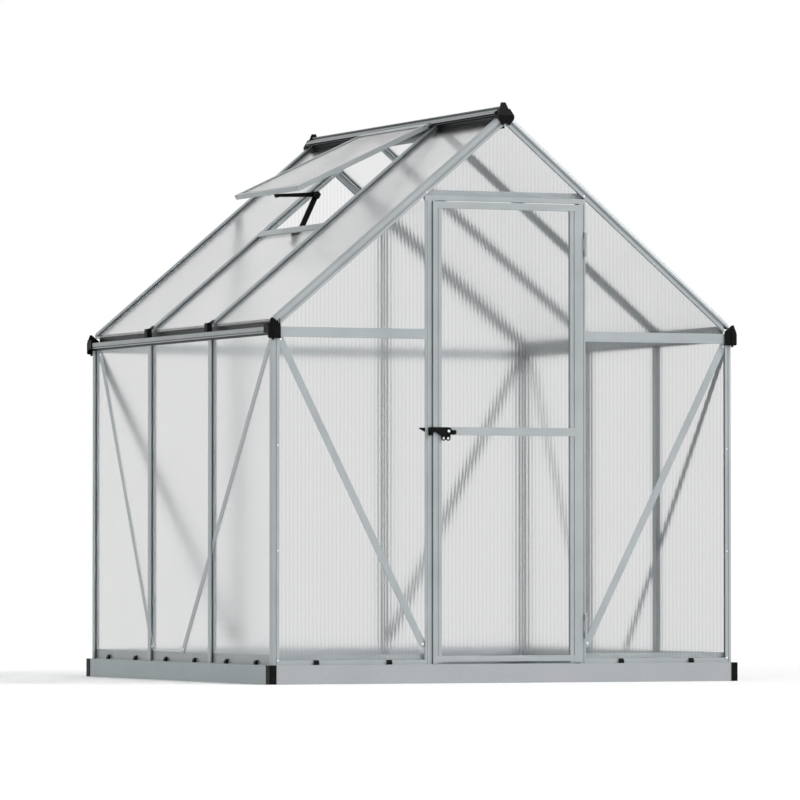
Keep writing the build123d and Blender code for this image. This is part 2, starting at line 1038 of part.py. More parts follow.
def gutter_cap_plate(side):
    points = [
        (gutter_inner, cap_foot),
        (gutter_outer, cap_foot),
        (cap_outer, cap_foot + end_sleeve_wall),
        (cap_outer, lip_top),
        (half_x + end_plate, cap_peak),
        (half_x, cap_peak),
        (gutter_inner, tie_centre + tie_height / 2 + end_shoulder),
    ]
    return [(side * x, z) for x, z in points]


def gutter_cap_rib(side):
    """Raised rib down the middle of the plate, with a tab over the post."""
    centre = side * half_x
    half = end_rib_width / 2
    return rectangle(centre - half, centre + half, cap_foot - end_tab, cap_peak - end_rib_drop)


def gutter_cap_sleeve(side):
    points = rectangle(gutter_outer, cap_outer, eave_height, lip_top + end_hood)
    return [(side * x, z) for x, z in points]


def gutter_cap_plug(side):
    near = half_x - end_plug_gap
    points = rectangle(near, cap_outer, eave_height - end_sleeve_wall, lip_top + end_sleeve_wall)
    return [(side * x, z) for x, z in points]


with BuildPart() as gutter_end_caps:
    for end in sides:
        for side in sides:
            plate_at = max(end * half_y, end * (half_y + end_plate))
            bar(cross_plane(plate_at), gutter_cap_plate(side), end_plate)
            rib_at = max(end * half_y, end * (half_y + end_plate + end_rib_proud))
            bar(cross_plane(rib_at), gutter_cap_rib(side), end_plate + end_rib_proud)
            sleeve_at = max(end * half_y, end * (half_y + end_plate - end_sleeve))
            bar(cross_plane(sleeve_at), gutter_cap_sleeve(side), end_sleeve - end_plate)
            plug_at = max(end * half_y, end * gutter_reach)
            bar(cross_plane(plug_at), gutter_cap_plug(side), half_y - gutter_reach)
save(gutter_end_caps, "gutter_end_caps")


def foot_clip_outline(side):
    """Hook that rides on a rafter's foot and turns down to the gutter's lip."""
    near = rafter_tail - foot_clip_reach
    face = panel_tail + panel_gap
    tip = face + foot_clip_depth
    foot = lip_top + panel_gap
    points = [
        (near, roof_z(near, 0)),
        (near, roof_z(near, -foot_clip_wall)),
        (face, roof_z(face, -foot_clip_wall)),
        (tip, roof_z(face, 0)),
        (tip, foot),
        (face, foot),
        (face, roof_z(face, 0)),
    ]
    return [(side * x, z) for x, z in points]


with BuildPart() as rafter_foot_clips:
    for end in sides:
        for side in sides:
            y = end * roof_stud_y + foot_clip_width / 2
            bar(cross_plane(y), foot_clip_outline(side), foot_clip_width)
save(rafter_foot_clips, "rafter_foot_clips")


# Panel clips stand on the plinth, two to a bay
def clip_outline(face):
    return [
        (face - clip_depth, plinth_height),
        (face, plinth_height),
        (face, plinth_height + clip_height),
        (face - clip_lip, plinth_height + clip_height),
        (face - clip_depth, plinth_height + clip_toe),
    ]


with BuildPart() as panel_clips:
    for bay in left_bays + right_bays + back_bays + front_bays:
        face = 0 if bay.wall is front_wall else panel_depth
        low, high = bay.rail
        for share in sides:
            along = (low + high) / 2 + share * (high - low) / 4
            bar(bay.wall.lengthwise(along - clip_width / 2), clip_outline(face), clip_width)
save(panel_clips, "panel_clips")


# Frame screws in the corner posts and bolts through the brace ends
with BuildPart() as frame_screws:
    for wall in (front_wall, back_wall):
        for along in gable_screw_sides(wall):
            for height in screw_heights:
                rod(wall.facing(0), (along, height), screw_head_radius, screw_head)
                rod(wall.facing(screw_length), (along, height), screw_radius, screw_length)
    for side in sides:
        spot = (side * header_screw_out, header_screw_height)
        rod(front_wall.facing(0), spot, screw_head_radius, screw_head)
        rod(front_wall.facing(screw_length), spot, screw_radius, screw_length)
save(frame_screws, "frame_screws")

with BuildPart() as brace_bolts:
    head_depth = panel_depth - brace_thickness
    for brace in all_braces:
        for spot in (brace.head, brace.foot):
            rod(brace.wall.facing(head_depth), spot, bolt_head_radius, bolt_head)
            rod(brace.wall.facing(seat_depth), spot, bolt_radius, seat_depth - head_depth)
            rod(brace.wall.facing(seat_depth + nut_height), spot, nut_radius, nut_height)
save(brace_bolts, "brace_bolts")


# Wall panels
def wall_panel(bay, top):
    low, high = bay.panel
    outline = rectangle(panel_depth, seat_depth, sill_top, top)
    bar(bay.wall.lengthwise(low), outline, high - low)


side_panel_top = eave_height - panel_gap
gable_panel_foot = tie_centre + stem / 2 + panel_gap
gable_wall_top = tie_centre - stem / 2 - panel_gap
panel_groups = (
    ("wall_panels_left", left_bays, side_panel_top, left_pair),
    ("wall_panels_right", right_bays, side_panel_top, right_pair),
    ("wall_panels_back", back_bays, gable_wall_top, back_pair),
    ("wall_panels_front", front_bays, gable_wall_top, front_pair),
)
for name, group, top, pair in panel_groups:
    with BuildPart() as wall_panels:
        for bay in group:
            wall_panel(bay, top)
        for brace in pair:
            brace_holes(brace, seat_depth, panel_thickness)
    save(wall_panels, name)

# Gable panels slide into the rafters' slots
panel_slope = core + panel_gap
gable_panel_peak = cap_web_foot - panel_gap


def slope_out(height):
    return roof_out(height, panel_slope)


def gable_side_panel(inner, top):
    """Outline, on the positive side, between the tie, an upright and the rafter."""
    outer = gutter_inner - panel_gap
    head = min(top, roof_z(inner, panel_slope))
    points = [
        (inner, gable_panel_foot),
        (outer, gable_panel_foot),
        (outer, roof_z(outer, panel_slope)),
    ]
    if head < roof_z(inner, panel_slope):
        points.append((slope_out(head), head))
    return points + [(inner, head)]


def gable_peak_panel(foot, half):
    """Outline of the panel under the ridge, from one slope to the other."""
    side_points = [(min(half, slope_out(foot)), foot)]
    if half < slope_out(foot):
        side_points.append((half, roof_z(half, panel_slope)))
    side_points.append((slope_out(gable_panel_peak), gable_panel_peak))
    return side_points + [(-x, z) for x, z in reversed(side_points)]


header_clear = header_underside - panel_gap
with BuildPart() as gable_panels_front:
    plane = front_wall.facing(seat_depth)
    for end in sides:
        outline = gable_side_panel(opening_half + stem + panel_gap, header_clear)
        bar(plane, [(end * x, z) for x, z in outline], panel_thickness)
    bar(plane, gable_peak_panel(header_web_top + panel_gap, half_x), panel_thickness)
save(gable_panels_front, "gable_panels_front")

with BuildPart() as gable_panels_back:
    plane = back_wall.facing(seat_depth)
    stud_side = half_x / bays
    for end in sides:
        outline = gable_side_panel(stud_side + stem / 2 + panel_gap, apex)
        bar(plane, [(end * x, z) for x, z in outline], panel_thickness)
    half = stud_side - stem / 2 - panel_gap
    bar(plane, gable_peak_panel(gable_panel_foot, half), panel_thickness)
save(gable_panels_back, "gable_panels_back")

# Roof panels; the vent takes the upper part of the middle bay on the left
roof_panel_run = (ridge_half + panel_gap, panel_tail)
outer_bay = (roof_stud_y + stem / 2 + panel_gap, half_y - core - panel_gap)
middle_bay = roof_stud_y - stem / 2 - panel_gap
panel_layer = (panel_depth, seat_depth)

# Vent leaf geometry: along runs down the leaf from the hinge, lift is square to it
sill_start = vent_length + vent_hinge_out * cos(pitch) - sill_bar_lap
sill_end = sill_start + sill_bar_width
sill_panel_out = roof_point(sill_start + stem + panel_gap, panel_depth)[0]

with BuildPart() as roof_panels_right:
    for low, high in ((-outer_bay[1], -outer_bay[0]), (-middle_bay, middle_bay), outer_bay):
        bar(cross_plane(high), strip(1, panel_layer, roof_panel_run), high - low)
save(roof_panels_right, "roof_panels_right")

with BuildPart() as roof_panels_left:
    for low, high in ((-outer_bay[1], -outer_bay[0]), outer_bay):
        bar(cross_plane(high), strip(-1, panel_layer, roof_panel_run), high - low)
    lower_run = (sill_panel_out, panel_tail)
    bar(cross_plane(middle_bay), strip(-1, panel_layer, lower_run), 2 * middle_bay)
save(roof_panels_left, "roof_panels_left")


def slope_places(points):
    """Turn (along, depth) pairs on the left slope into cross-plane points."""
    places = [roof_point(along, depth) for along, depth in points]
    return [(-out, height) for out, height in places]


with BuildPart() as vent_sill:
    web = sill_start + stem
    outline = [
        (sill_start, 0),
        (sill_end, 0),
        (sill_end, flange),
        (web, flange),
        (web, seat_depth),
        (sill_start + sill_bar_seat, seat_depth),
        (sill_start + sill_bar_seat, core),
        (sill_start, core),
    ]
    sill_half = roof_stud_y - stud_width / 2
    bar(cross_plane(sill_half), slope_places(outline), 2 * sill_half)
save(vent_sill, "vent_sill")

# Vent leaf
vent_half = roof_stud_y + vent_side_lap
leaf_down = (-cos(leaf_pitch), 0, -sin(leaf_pitch))
leaf_up = (-sin(leaf_pitch), 0, cos(leaf_pitch))


def leaf_section(y):
    """Plane across the leaf at a given Y: x down the leaf, y square up, normal to the back."""
    return Plane(origin=(-vent_hinge_out, y, vent_hinge_z), x_dir=leaf_down, z_dir=(0, 1, 0))


def leaf_cross(along):
    """Plane square to the leaf's length: x to the back, y square up, normal up the leaf."""
    spot = (
        -vent_hinge_out + along * leaf_down[0],
        0,
        vent_hinge_z + along * leaf_down[2],
    )
    up_leaf = (-leaf_down[0], 0, -leaf_down[2])
    return Plane(origin=spot, x_dir=(0, 1, 0), z_dir=up_leaf)


groove_low = vent_panel_low - groove_play
groove_high = vent_panel_low + panel_thickness + groove_play
hinge_rail_end = hinge_rail_start + hinge_rail_width
leaf_inner = vent_half - vent_rail

with BuildPart() as vent_hinge_rail:
    outline = [
        (hinge_rail_start, -bead_neck / 2),
        (hinge_rail_step, -bead_neck / 2),
        (hinge_rail_step, -vent_frame_under),
        (hinge_rail_end, -vent_frame_under),
        (hinge_rail_end, groove_low),
        (hinge_rail_end - vent_groove, groove_low),
        (hinge_rail_end - vent_groove, groove_high),
        (hinge_rail_end, groove_high),
        (hinge_rail_end, vent_frame_top),
        (hinge_rail_start, vent_frame_top),
    ]
    bar(leaf_section(-vent_half), outline, 2 * vent_half)
    neck = rectangle(0, hinge_rail_start, -bead_neck / 2, bead_neck / 2)
    bar(leaf_section(-vent_half), neck, 2 * vent_half)
    rod(leaf_section(-vent_half), (0, 0), bead_radius, 2 * vent_half)
save(vent_hinge_rail, "vent_hinge_rail")

with BuildPart() as vent_bottom_rail:
    inner = vent_length - vent_rail
    outline = [
        (vent_length, -vent_frame_under),
        (vent_length, vent_frame_top),
        (inner, vent_frame_top),
        (inner, groove_high),
        (inner + vent_groove, groove_high),
        (inner + vent_groove, groove_low),
        (inner, groove_low),
        (inner, -vent_frame_under),
    ]
    bar(leaf_section(-leaf_inner), outline, 2 * leaf_inner)
save(vent_bottom_rail, "vent_bottom_rail")

with BuildPart() as vent_side_rails:
    for end in sides:
        outline = [
            (vent_half, -vent_frame_under),
            (vent_half, vent_frame_top),
            (leaf_inner, vent_frame_top),
            (leaf_inner, groove_high),
            (leaf_inner + vent_groove, groove_high),
            (leaf_inner + vent_groove, groove_low),
            (leaf_inner, groove_low),
            (leaf_inner, -vent_frame_under),
        ]
        outline = [(end * y, lift) for y, lift in outline]
        bar(leaf_cross(vent_length), outline, vent_length - hinge_rail_end)
save(vent_side_rails, "vent_side_rails")

with BuildPart() as vent_panel:
    tuck = vent_groove - panel_gap
    start = hinge_rail_end - tuck
    stop = vent_length - vent_rail + tuck
    outline = rectangle(start, stop, vent_panel_low, vent_panel_low + panel_thickness)
    bar(leaf_section(-leaf_inner - tuck), outline, 2 * (leaf_inner + tuck))
save(vent_panel, "vent_panel")

# Vent stay: two arms that fold at an elbow, in planes side by side
vent_pivot_along = vent_length - stay_vent_pivot_back
vent_pivot = (
    -vent_hinge_out + vent_pivot_along * leaf_down[0] - stay_vent_pivot_drop * leaf_up[0],
    vent_hinge_z + vent_pivot_along * leaf_down[2] - stay_vent_pivot_drop * leaf_up[2],
)
foot_out, foot_height = roof_point(sill_start + sill_bar_seat + stay_foot_along, stay_foot_drop)
foot_pivot = (-foot_out, foot_height)


def stay_elbow():
    """Elbow of the two arms, on the ridge side of the line from foot to leaf."""
    dx = vent_pivot[0] - foot_pivot[0]
    dz = vent_pivot[1] - foot_pivot[1]
    reach = hypot(dx, dz)
    opening = (stay_lower_arm**2 + reach**2 - stay_upper_arm**2) / (2 * stay_lower_arm * reach)
    angle = atan2(dz, dx) - acos(opening)
    return foot_pivot[0] + stay_lower_arm * cos(angle), foot_pivot[1] + stay_lower_arm * sin(angle)


elbow = stay_elbow()
upper_front = -stay_arm_thickness / 2
upper_back = stay_arm_thickness / 2
lower_front = upper_back + stay_side_gap
lower_back = lower_front + stay_arm_thickness
lug_back = upper_front - stay_side_gap


def arm(start, stop, back, start_wide, stop_wide):
    """Round-ended arm between two pivots, tapered from one to the other; back is its rear face."""
    lean = atan2(stop[1] - start[1], stop[0] - start[0])
    across = (-sin(lean), cos(lean))
    ends = ((start, start_wide / 2), (stop, stop_wide / 2))
    low_edge = [(x - half * across[0], z - half * across[1]) for (x, z), half in ends]
    high_edge = [(x + half * across[0], z + half * across[1]) for (x, z), half in reversed(ends)]
    bar(cross_plane(back), low_edge + high_edge, stay_arm_thickness)
    for spot, half in ends:
        rod(cross_plane(back), spot, half, stay_arm_thickness)


with BuildPart() as stay_upper_link:
    arm(vent_pivot, elbow, upper_back, stay_upper_tip, stay_upper_root)
    rod(cross_plane(upper_back), elbow, stay_eye_radius, stay_arm_thickness)
    eye_bore = stay_pin_radius + stay_eye_play
    rod(cross_plane(upper_back), elbow, eye_bore, stay_arm_thickness, Mode.SUBTRACT)
    pin_bore = stay_pin_radius + stay_running_gap
    rod(cross_plane(upper_back), vent_pivot, pin_bore, stay_arm_thickness, Mode.SUBTRACT)
save(stay_upper_link, "stay_upper_link")

with BuildPart() as stay_lower_link:
    arm(foot_pivot, elbow, lower_back, stay_lower_width, stay_lower_width)
    rod(cross_plane(lower_back), foot_pivot, pin_bore, stay_arm_thickness, Mode.SUBTRACT)
    pin_length = lower_front - lug_back + stay_knob_socket
    rod(cross_plane(lower_front), elbow, stay_pin_radius, pin_length)
save(stay_lower_link, "stay_lower_link")

with BuildPart() as stay_elbow_knob:
    corners = [
        (-stay_block_back, stay_block_rise),
        (0, stay_block_rise),
        (stay_block_front, 0),
        (0, -stay_block_drop),
        (-stay_block_back, -stay_block_drop / 2),
    ]
    outline = [(elbow[0] + x, elbow[1] + z) for x, z in corners]
    bar(cross_plane(lug_back), outline, stay_knob_length)
    knob_bore = stay_pin_radius + stay_knob_seat_gap
    rod(cross_plane(lug_back), elbow, knob_bore, stay_knob_socket, Mode.SUBTRACT)
save(stay_elbow_knob, "stay_elbow_knob")


def leaf_place(along, lift):
    return (
        -vent_hinge_out + along * leaf_down[0] + lift * leaf_up[0],
        vent_hinge_z + along * leaf_down[2] + lift * leaf_up[2],
    )


with BuildPart() as stay_vent_bracket:
    foot = -vent_frame_under
    outline = [
        leaf_place(vent_pivot_along - stay_lug_radius, foot),
        leaf_place(vent_length, foot),
        leaf_place(vent_length, foot - stay_foot_plate),
        leaf_place(vent_pivot_along + stay_lug_radius, foot - stay_foot_plate),
        leaf_place(vent_pivot_along + stay_lug_radius, -stay_vent_pivot_drop),
        leaf_place(vent_pivot_along - stay_lug_radius, -stay_vent_pivot_drop),
    ]
    bar(cross_plane(lug_back), outline, stay_arm_thickness)
    rod(cross_plane(lug_back), vent_pivot, stay_lug_radius, stay_arm_thickness)
    rod(cross_plane(upper_back), vent_pivot, stay_pin_radius, upper_back - lug_back)
save(stay_vent_bracket, "stay_vent_bracket")

with BuildPart() as stay_sill_bracket:
    points = slope_places(
        [
            (sill_start, core),
            (sill_start + sill_bar_seat, core),
            (sill_start + sill_bar_seat + stay_foot_along + stay_lug_radius, stay_foot_drop),
            (sill_start + sill_bar_seat + stay_foot_along - stay_lug_radius, stay_foot_drop),
        ]
    )
    bar(cross_plane(upper_back), points, stay_arm_thickness)
    rod(cross_plane(upper_back), foot_pivot, stay_lug_radius, stay_arm_thickness)
    rod(cross_plane(lower_back), foot_pivot, stay_pin_radius, lower_back - upper_back)
save(stay_sill_bracket, "stay_sill_bracket")


# Door leaf: stepped stiles, lapped rails and two panels
leaf_wall = Wall(0, -leaf_face_y, leaf_half)
groove_back = groove_front + panel_thickness + 2 * groove_play
inner_edge = leaf_half - stile_width
lap_edge = leaf_half - stile_outer


wing_back = leaf_proud - hinge_wing_gap


def stile_outline(end, outer_edge):
    """Section of a stile, with a line beside its step, closed by the points of its outer edge."""
    line_floor = lap + stile_line_depth
    points = [
        (lap_edge, 0),
        (lap_edge, line_floor),
        (lap_edge - stile_line_width, line_floor),
        (lap_edge - stile_line_width, lap),
        (inner_edge, lap),
        (inner_edge, groove_front),
        (inner_edge + groove_depth, groove_front),
        (inner_edge + groove_depth, groove_back),
        (inner_edge, groove_back),
        (inner_edge, leaf_depth),
        (leaf_half, leaf_depth),
    ]
    return [(end * x, depth) for x, depth in points + outer_edge]


plain_edge = [(leaf_half, 0)]
winged_edge = [(leaf_half, wing_back), (wing_edge, wing_back), (wing_edge, 0)]
stiles = (
    (-1, plain_edge, "door_stile_latch_side"),
    (1, winged_edge, "door_stile_hinge_side"),
)
for end, outer_edge, name in stiles:
    with BuildPart() as stile:
        bar(leaf_wall.upright(0, leaf_foot), stile_outline(end, outer_edge), leaf_top - leaf_foot)
    save(stile, name)


def door_rail(low, high, groove_below, groove_above):
    """Rail between the stiles, with its face lapped over their inner halves."""
    groove_tuck = min(groove_depth, (high - low) / 3)
    with BuildPart() as rail:
        plate = rectangle(0, lap, low, high)
        bar(leaf_wall.lengthwise(-lap_edge), plate, 2 * lap_edge)
        body = rectangle(lap, leaf_depth, low, high)
        bar(leaf_wall.lengthwise(-inner_edge), body, 2 * inner_edge)
        cuts = []
        if groove_below:
            cuts.append((low, low + groove_tuck))
        if groove_above:
            cuts.append((high - groove_tuck, high))
        for cut_low, cut_high in cuts:
            groove = rectangle(groove_front, groove_back, cut_low, cut_high)
            bar(leaf_wall.lengthwise(-inner_edge), groove, 2 * inner_edge, Mode.SUBTRACT)
    return rail


mid_low = mid_rail_centre - mid_rail_height / 2
mid_high = mid_rail_centre + mid_rail_height / 2
bottom_high = bottom_rail_foot + bottom_rail_height
top_low = leaf_top - top_rail_height
save(door_rail(bottom_rail_foot, bottom_high, False, True), "door_bottom_rail")
save(door_rail(mid_low, mid_high, True, True), "door_middle_rail")
save(door_rail(top_low, leaf_top, True, False), "door_top_rail")

with BuildPart() as door_panels:
    panel_half = inner_edge + groove_depth - panel_gap
    bottom_tuck = min(groove_depth, bottom_rail_height / 3) - panel_gap
    middle_tuck = min(groove_depth, mid_rail_height / 3) - panel_gap
    top_tuck = min(groove_depth, top_rail_height / 3) - panel_gap
    front_face = groove_front + groove_play
    spans = (
        (bottom_high - bottom_tuck, mid_low + middle_tuck),
        (mid_high - middle_tuck, top_low + top_tuck),
    )
    for low, high in spans:
        outline = rectangle(front_face, front_face + panel_thickness, low, high)
        bar(leaf_wall.lengthwise(-panel_half), outline, 2 * panel_half)
save(door_panels, "door_panels")

# Door hinges: the middle knuckle turns with the door on a pin held by the jamb
hinge_bore = hinge_pin_radius + hinge_running_gap
seat_bore = hinge_pin_radius + hinge_seat_gap
end_knuckle = (knuckle_height - knuckle_middle) / 2 - knuckle_end_gap


def knuckle(foot, height, bore):
    rod(Plane.XY.offset(foot), (hinge_x, hinge_y), knuckle_radius, height)
    rod(Plane.XY.offset(foot), (hinge_x, hinge_y), bore, height, Mode.SUBTRACT)


with BuildPart() as hinge_door_leaves:
    for centre in hinge_heights:
        foot = centre - knuckle_middle / 2
        outer = wing_edge + hinge_plate
        tail = leaf_face_y + wing_back
        outline = [
            (wing_edge, tail),
            (wing_edge, hinge_y - hinge_plate / 2),
            (hinge_x, hinge_y - hinge_plate / 2),
            (hinge_x, hinge_y + hinge_plate / 2),
            (outer, hinge_y + hinge_plate / 2),
            (outer, tail),
        ]
        bar(Plane.XY.offset(foot), outline, knuckle_middle)
        knuckle(foot, knuckle_middle, hinge_bore)
save(hinge_door_leaves, "hinge_door_leaves")

with BuildPart() as hinge_jamb_leaves:
    jamb_inner = hinge_x - knuckle_radius
    for centre in hinge_heights:
        for end in sides:
            near = centre + end * (knuckle_middle / 2 + knuckle_end_gap)
            foot = min(near, near + end * end_knuckle)
            outline = rectangle(jamb_inner, jamb_outer, -half_y - hinge_plate, -half_y)
            bar(Plane.XY.offset(foot), outline, end_knuckle)
            arm_outline = rectangle(hinge_x, hinge_x + hinge_plate, hinge_y, -half_y - hinge_plate)
            bar(Plane.XY.offset(foot), arm_outline, end_knuckle)
            knuckle(foot, end_knuckle, seat_bore)
save(hinge_jamb_leaves, "hinge_jamb_leaves")

with BuildPart() as hinge_pins:
    for centre in hinge_heights:
        foot = centre - knuckle_height / 2
        top = Plane.XY.offset(foot + knuckle_height)
        rod(Plane.XY.offset(foot), (hinge_x, hinge_y), hinge_pin_radius, knuckle_height)
        rod(top, (hinge_x, hinge_y), knuckle_radius - hinge_plate / 2, hinge_pin_head)
save(hinge_pins, "hinge_pins")

# Latch: plate on the door, turning lever, and keeper on the jamb
latch_pivot = (-latch_pivot_x, mid_rail_centre)
plate_face_y = leaf_face_y - latch_plate_thickness
lever_back_y = plate_face_y - latch_side_gap
lever_face_y = lever_back_y - latch_lever_thickness
eye_height = mid_rail_centre - latch_eye_drop
plate_eye = (-latch_pivot_x, eye_height)
lever_eye = (-latch_pivot_x - latch_lever_eye_back, eye_height)
knob_place = (-latch_pivot_x + latch_knob_forward, mid_rail_centre - latch_knob_drop)


def eye(plane, centre, amount):
    """Padlock eye: a ring tied to the hub above it."""
    tie = rectangle(
        centre[0] - latch_eye_radius,
        centre[0] + latch_eye_radius,
        centre[1],
        mid_rail_centre,
    )
    bar(plane, tie, amount)
    rod(plane, centre, latch_eye_radius, amount)
    rod(plane, centre, latch_eye_bore, amount, Mode.SUBTRACT)


with BuildPart() as latch_plate:
    back = cross_plane(leaf_face_y)
    rod(back, latch_pivot, latch_hub_radius, latch_plate_thickness)
    half = latch_knob_radius + latch_side_gap
    low, high = knob_place[1] - half, knob_place[1] + half
    tail = rectangle(latch_pivot[0], knob_place[0] + half, low, high)
    bar(back, tail, latch_plate_thickness)
    eye(back, plate_eye, latch_plate_thickness)
    rod(back, knob_place, latch_knob_radius, latch_plate_thickness + latch_knob_length)
    screw_bore = latch_pin_radius + hinge_seat_gap
    rod(back, latch_pivot, screw_bore, latch_plate_thickness, Mode.SUBTRACT)
save(latch_plate, "latch_plate")

with BuildPart() as latch_pivot_screw:
    head_back_y = lever_face_y - latch_side_gap
    rod(cross_plane(leaf_face_y), latch_pivot, latch_pin_radius, leaf_face_y - head_back_y)
    rod(cross_plane(head_back_y), latch_pivot, latch_head_radius, latch_head)
save(latch_pivot_screw, "latch_pivot_screw")

tip_x = latch_pivot[0] - latch_tip_reach
arm_top = mid_rail_centre + latch_arm_top
arm_low = arm_top - latch_arm_height
hook_low = arm_low - latch_hook_drop
hook_end = tip_x + latch_hook

with BuildPart() as latch_lever:
    back = cross_plane(lever_back_y)
    nose_x = latch_pivot[0] + latch_hub_radius
    outline = [
        (tip_x, arm_top),
        (latch_pivot[0], arm_top),
        (nose_x, mid_rail_centre + latch_nose_rise),
        (nose_x, mid_rail_centre - latch_nose_drop),
        (latch_pivot[0], mid_rail_centre - latch_hub_radius),
        (lever_eye[0] - latch_eye_radius, mid_rail_centre - latch_arm_root),
        (hook_end, arm_low),
        (hook_end - latch_hook_slope, hook_low),
        (tip_x + latch_hook_slope, hook_low),
        (tip_x, arm_low),
    ]
    bar(back, outline, latch_lever_thickness)
    rod(back, latch_pivot, latch_hub_radius, latch_lever_thickness)
    eye(back, lever_eye, latch_lever_thickness)
    lever_bore = latch_pin_radius + hinge_running_gap
    rod(back, latch_pivot, lever_bore, latch_lever_thickness, Mode.SUBTRACT)
save(latch_lever, "latch_lever")

with BuildPart() as latch_keeper:
    lip_front = lever_face_y - keeper_play - keeper_wall
    right = -opening_half - keeper_play
    left = right - keeper_width
    keeper_lip = hook_low - keeper_gap
    drop = radians(latch_drop)
    reach = latch_tip_reach - latch_hook_slope
    dropped = (hook_low - mid_rail_centre) * cos(drop) - reach * sin(drop)
    shelf_top = mid_rail_centre + dropped - keeper_gap
    shelf_low = shelf_top - keeper_wall
    wall_y = -half_y
    plate_top = arm_top - keeper_top_drop
    block((left, wall_y - keeper_wall, shelf_low), (right, wall_y, plate_top))
    block((left, lip_front, shelf_low), (right, wall_y, shelf_top))
    block((left, lip_front, shelf_top), (right, lip_front + keeper_wall, keeper_lip))
    tab_left = -jamb_outer - keeper_tab
    outline = [
        (-jamb_outer, plate_top),
        (tab_left, plate_top),
        (tab_left, plate_top - keeper_tab_tip),
        (-jamb_outer - keeper_tab_root, arm_low),
        (-jamb_outer, arm_low),
    ]
    bar(cross_plane(wall_y + flange), outline, flange)
save(latch_keeper, "latch_keeper")
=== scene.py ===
"""Looks of a small walk-in greenhouse: satin bars, ribbed twin-wall sheets, black mouldings and fixings."""

import json
import logging
import math
from collections.abc import Iterator, Sequence
from dataclasses import dataclass
from enum import Enum

import bmesh
import bpy
from mathutils import Euler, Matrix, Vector
from mathutils.geometry import convex_hull_2d

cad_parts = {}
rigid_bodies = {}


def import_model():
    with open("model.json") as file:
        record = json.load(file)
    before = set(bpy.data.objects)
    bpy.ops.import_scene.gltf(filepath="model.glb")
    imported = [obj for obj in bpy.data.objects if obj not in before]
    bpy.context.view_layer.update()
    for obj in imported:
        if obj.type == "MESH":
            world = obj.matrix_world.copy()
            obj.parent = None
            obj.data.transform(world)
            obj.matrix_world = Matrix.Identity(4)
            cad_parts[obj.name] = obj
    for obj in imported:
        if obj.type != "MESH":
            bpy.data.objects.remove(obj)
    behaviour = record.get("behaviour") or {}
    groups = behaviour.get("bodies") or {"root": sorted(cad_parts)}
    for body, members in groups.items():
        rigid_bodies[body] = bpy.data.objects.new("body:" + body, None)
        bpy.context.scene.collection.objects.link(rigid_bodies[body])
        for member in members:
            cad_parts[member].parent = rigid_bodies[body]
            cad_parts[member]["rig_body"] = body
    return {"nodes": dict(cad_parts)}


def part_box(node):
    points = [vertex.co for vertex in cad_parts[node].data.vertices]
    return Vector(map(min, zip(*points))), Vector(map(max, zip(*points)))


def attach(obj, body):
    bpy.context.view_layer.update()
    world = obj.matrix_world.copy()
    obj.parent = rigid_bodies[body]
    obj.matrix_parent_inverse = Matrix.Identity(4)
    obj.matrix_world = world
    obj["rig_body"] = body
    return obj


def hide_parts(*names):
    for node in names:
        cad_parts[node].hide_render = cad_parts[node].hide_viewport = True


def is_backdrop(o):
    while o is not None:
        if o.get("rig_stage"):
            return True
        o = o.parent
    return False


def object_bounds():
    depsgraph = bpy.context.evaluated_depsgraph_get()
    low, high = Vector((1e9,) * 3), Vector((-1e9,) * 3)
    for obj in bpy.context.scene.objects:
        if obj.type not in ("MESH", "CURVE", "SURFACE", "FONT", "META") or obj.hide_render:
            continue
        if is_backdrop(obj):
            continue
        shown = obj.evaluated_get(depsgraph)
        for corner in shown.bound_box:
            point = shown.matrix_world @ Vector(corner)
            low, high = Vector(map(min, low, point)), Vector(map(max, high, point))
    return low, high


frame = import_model()
CAD_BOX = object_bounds()
LOG = logging.getLogger("greenhouse")
WELD = 1e-6

Colour = tuple[float, float, float]
Tint = bpy.types.NodeSocket | Colour
Feed = bpy.types.NodeSocket | float | tuple[float, ...]


class Grain(Enum):
    """The way a bar was drawn, which its fine lines follow."""

    ALONG_X = "x"
    ALONG_Y = "y"
    ALONG_Z = "z"
    DOWN_ROOF = "roof"

    def line_scale(self, lines_per_metre: float, stretch: float) -> tuple[float, float, float]:
        """Return the noise scale along each axis, long along the bar.

        Args:
            lines_per_metre: Scale across the bar.
            stretch: Share of that scale along it.

        Returns:
            The three factors.
        """
        along, over = lines_per_metre * stretch, lines_per_metre
        if self is Grain.ALONG_Y:
            return (over, along, over)
        if self is Grain.ALONG_Z:
            return (over, over, along)
        return (along, over, over)


class Across(Enum):
    """The level direction that a sheet's ribs are counted along."""

    X = 0
    Y = 1

    def direction(self) -> Vector:
        """Return the unit vector of this direction."""
        return Vector((1.0, 0.0, 0.0)) if self is Across.X else Vector((0.0, 1.0, 0.0))


class Section(Enum):
    """The outline of one ring of a turned fixing."""

    ROUND = "round"
    HEXAGON = "hexagon"


def roof_pitch() -> float:
    """Return the roof's slope in radians, read from the right-hand roof sheets.

    Returns:
        The angle between the roof and the ground.
    """
    low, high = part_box("roof_panels_right")
    return math.atan2(high.z - low.z, high.x - low.x)


@dataclass(frozen=True)
class CornerShade:
    """Painted shade: how a finish is darkened where walls close in on it."""

    reach: float = 0.012
    shade_colour: Colour = (0.100, 0.108, 0.111)
    span: tuple[float, float] = (0.05, 0.5)
    own_walls: bool = True


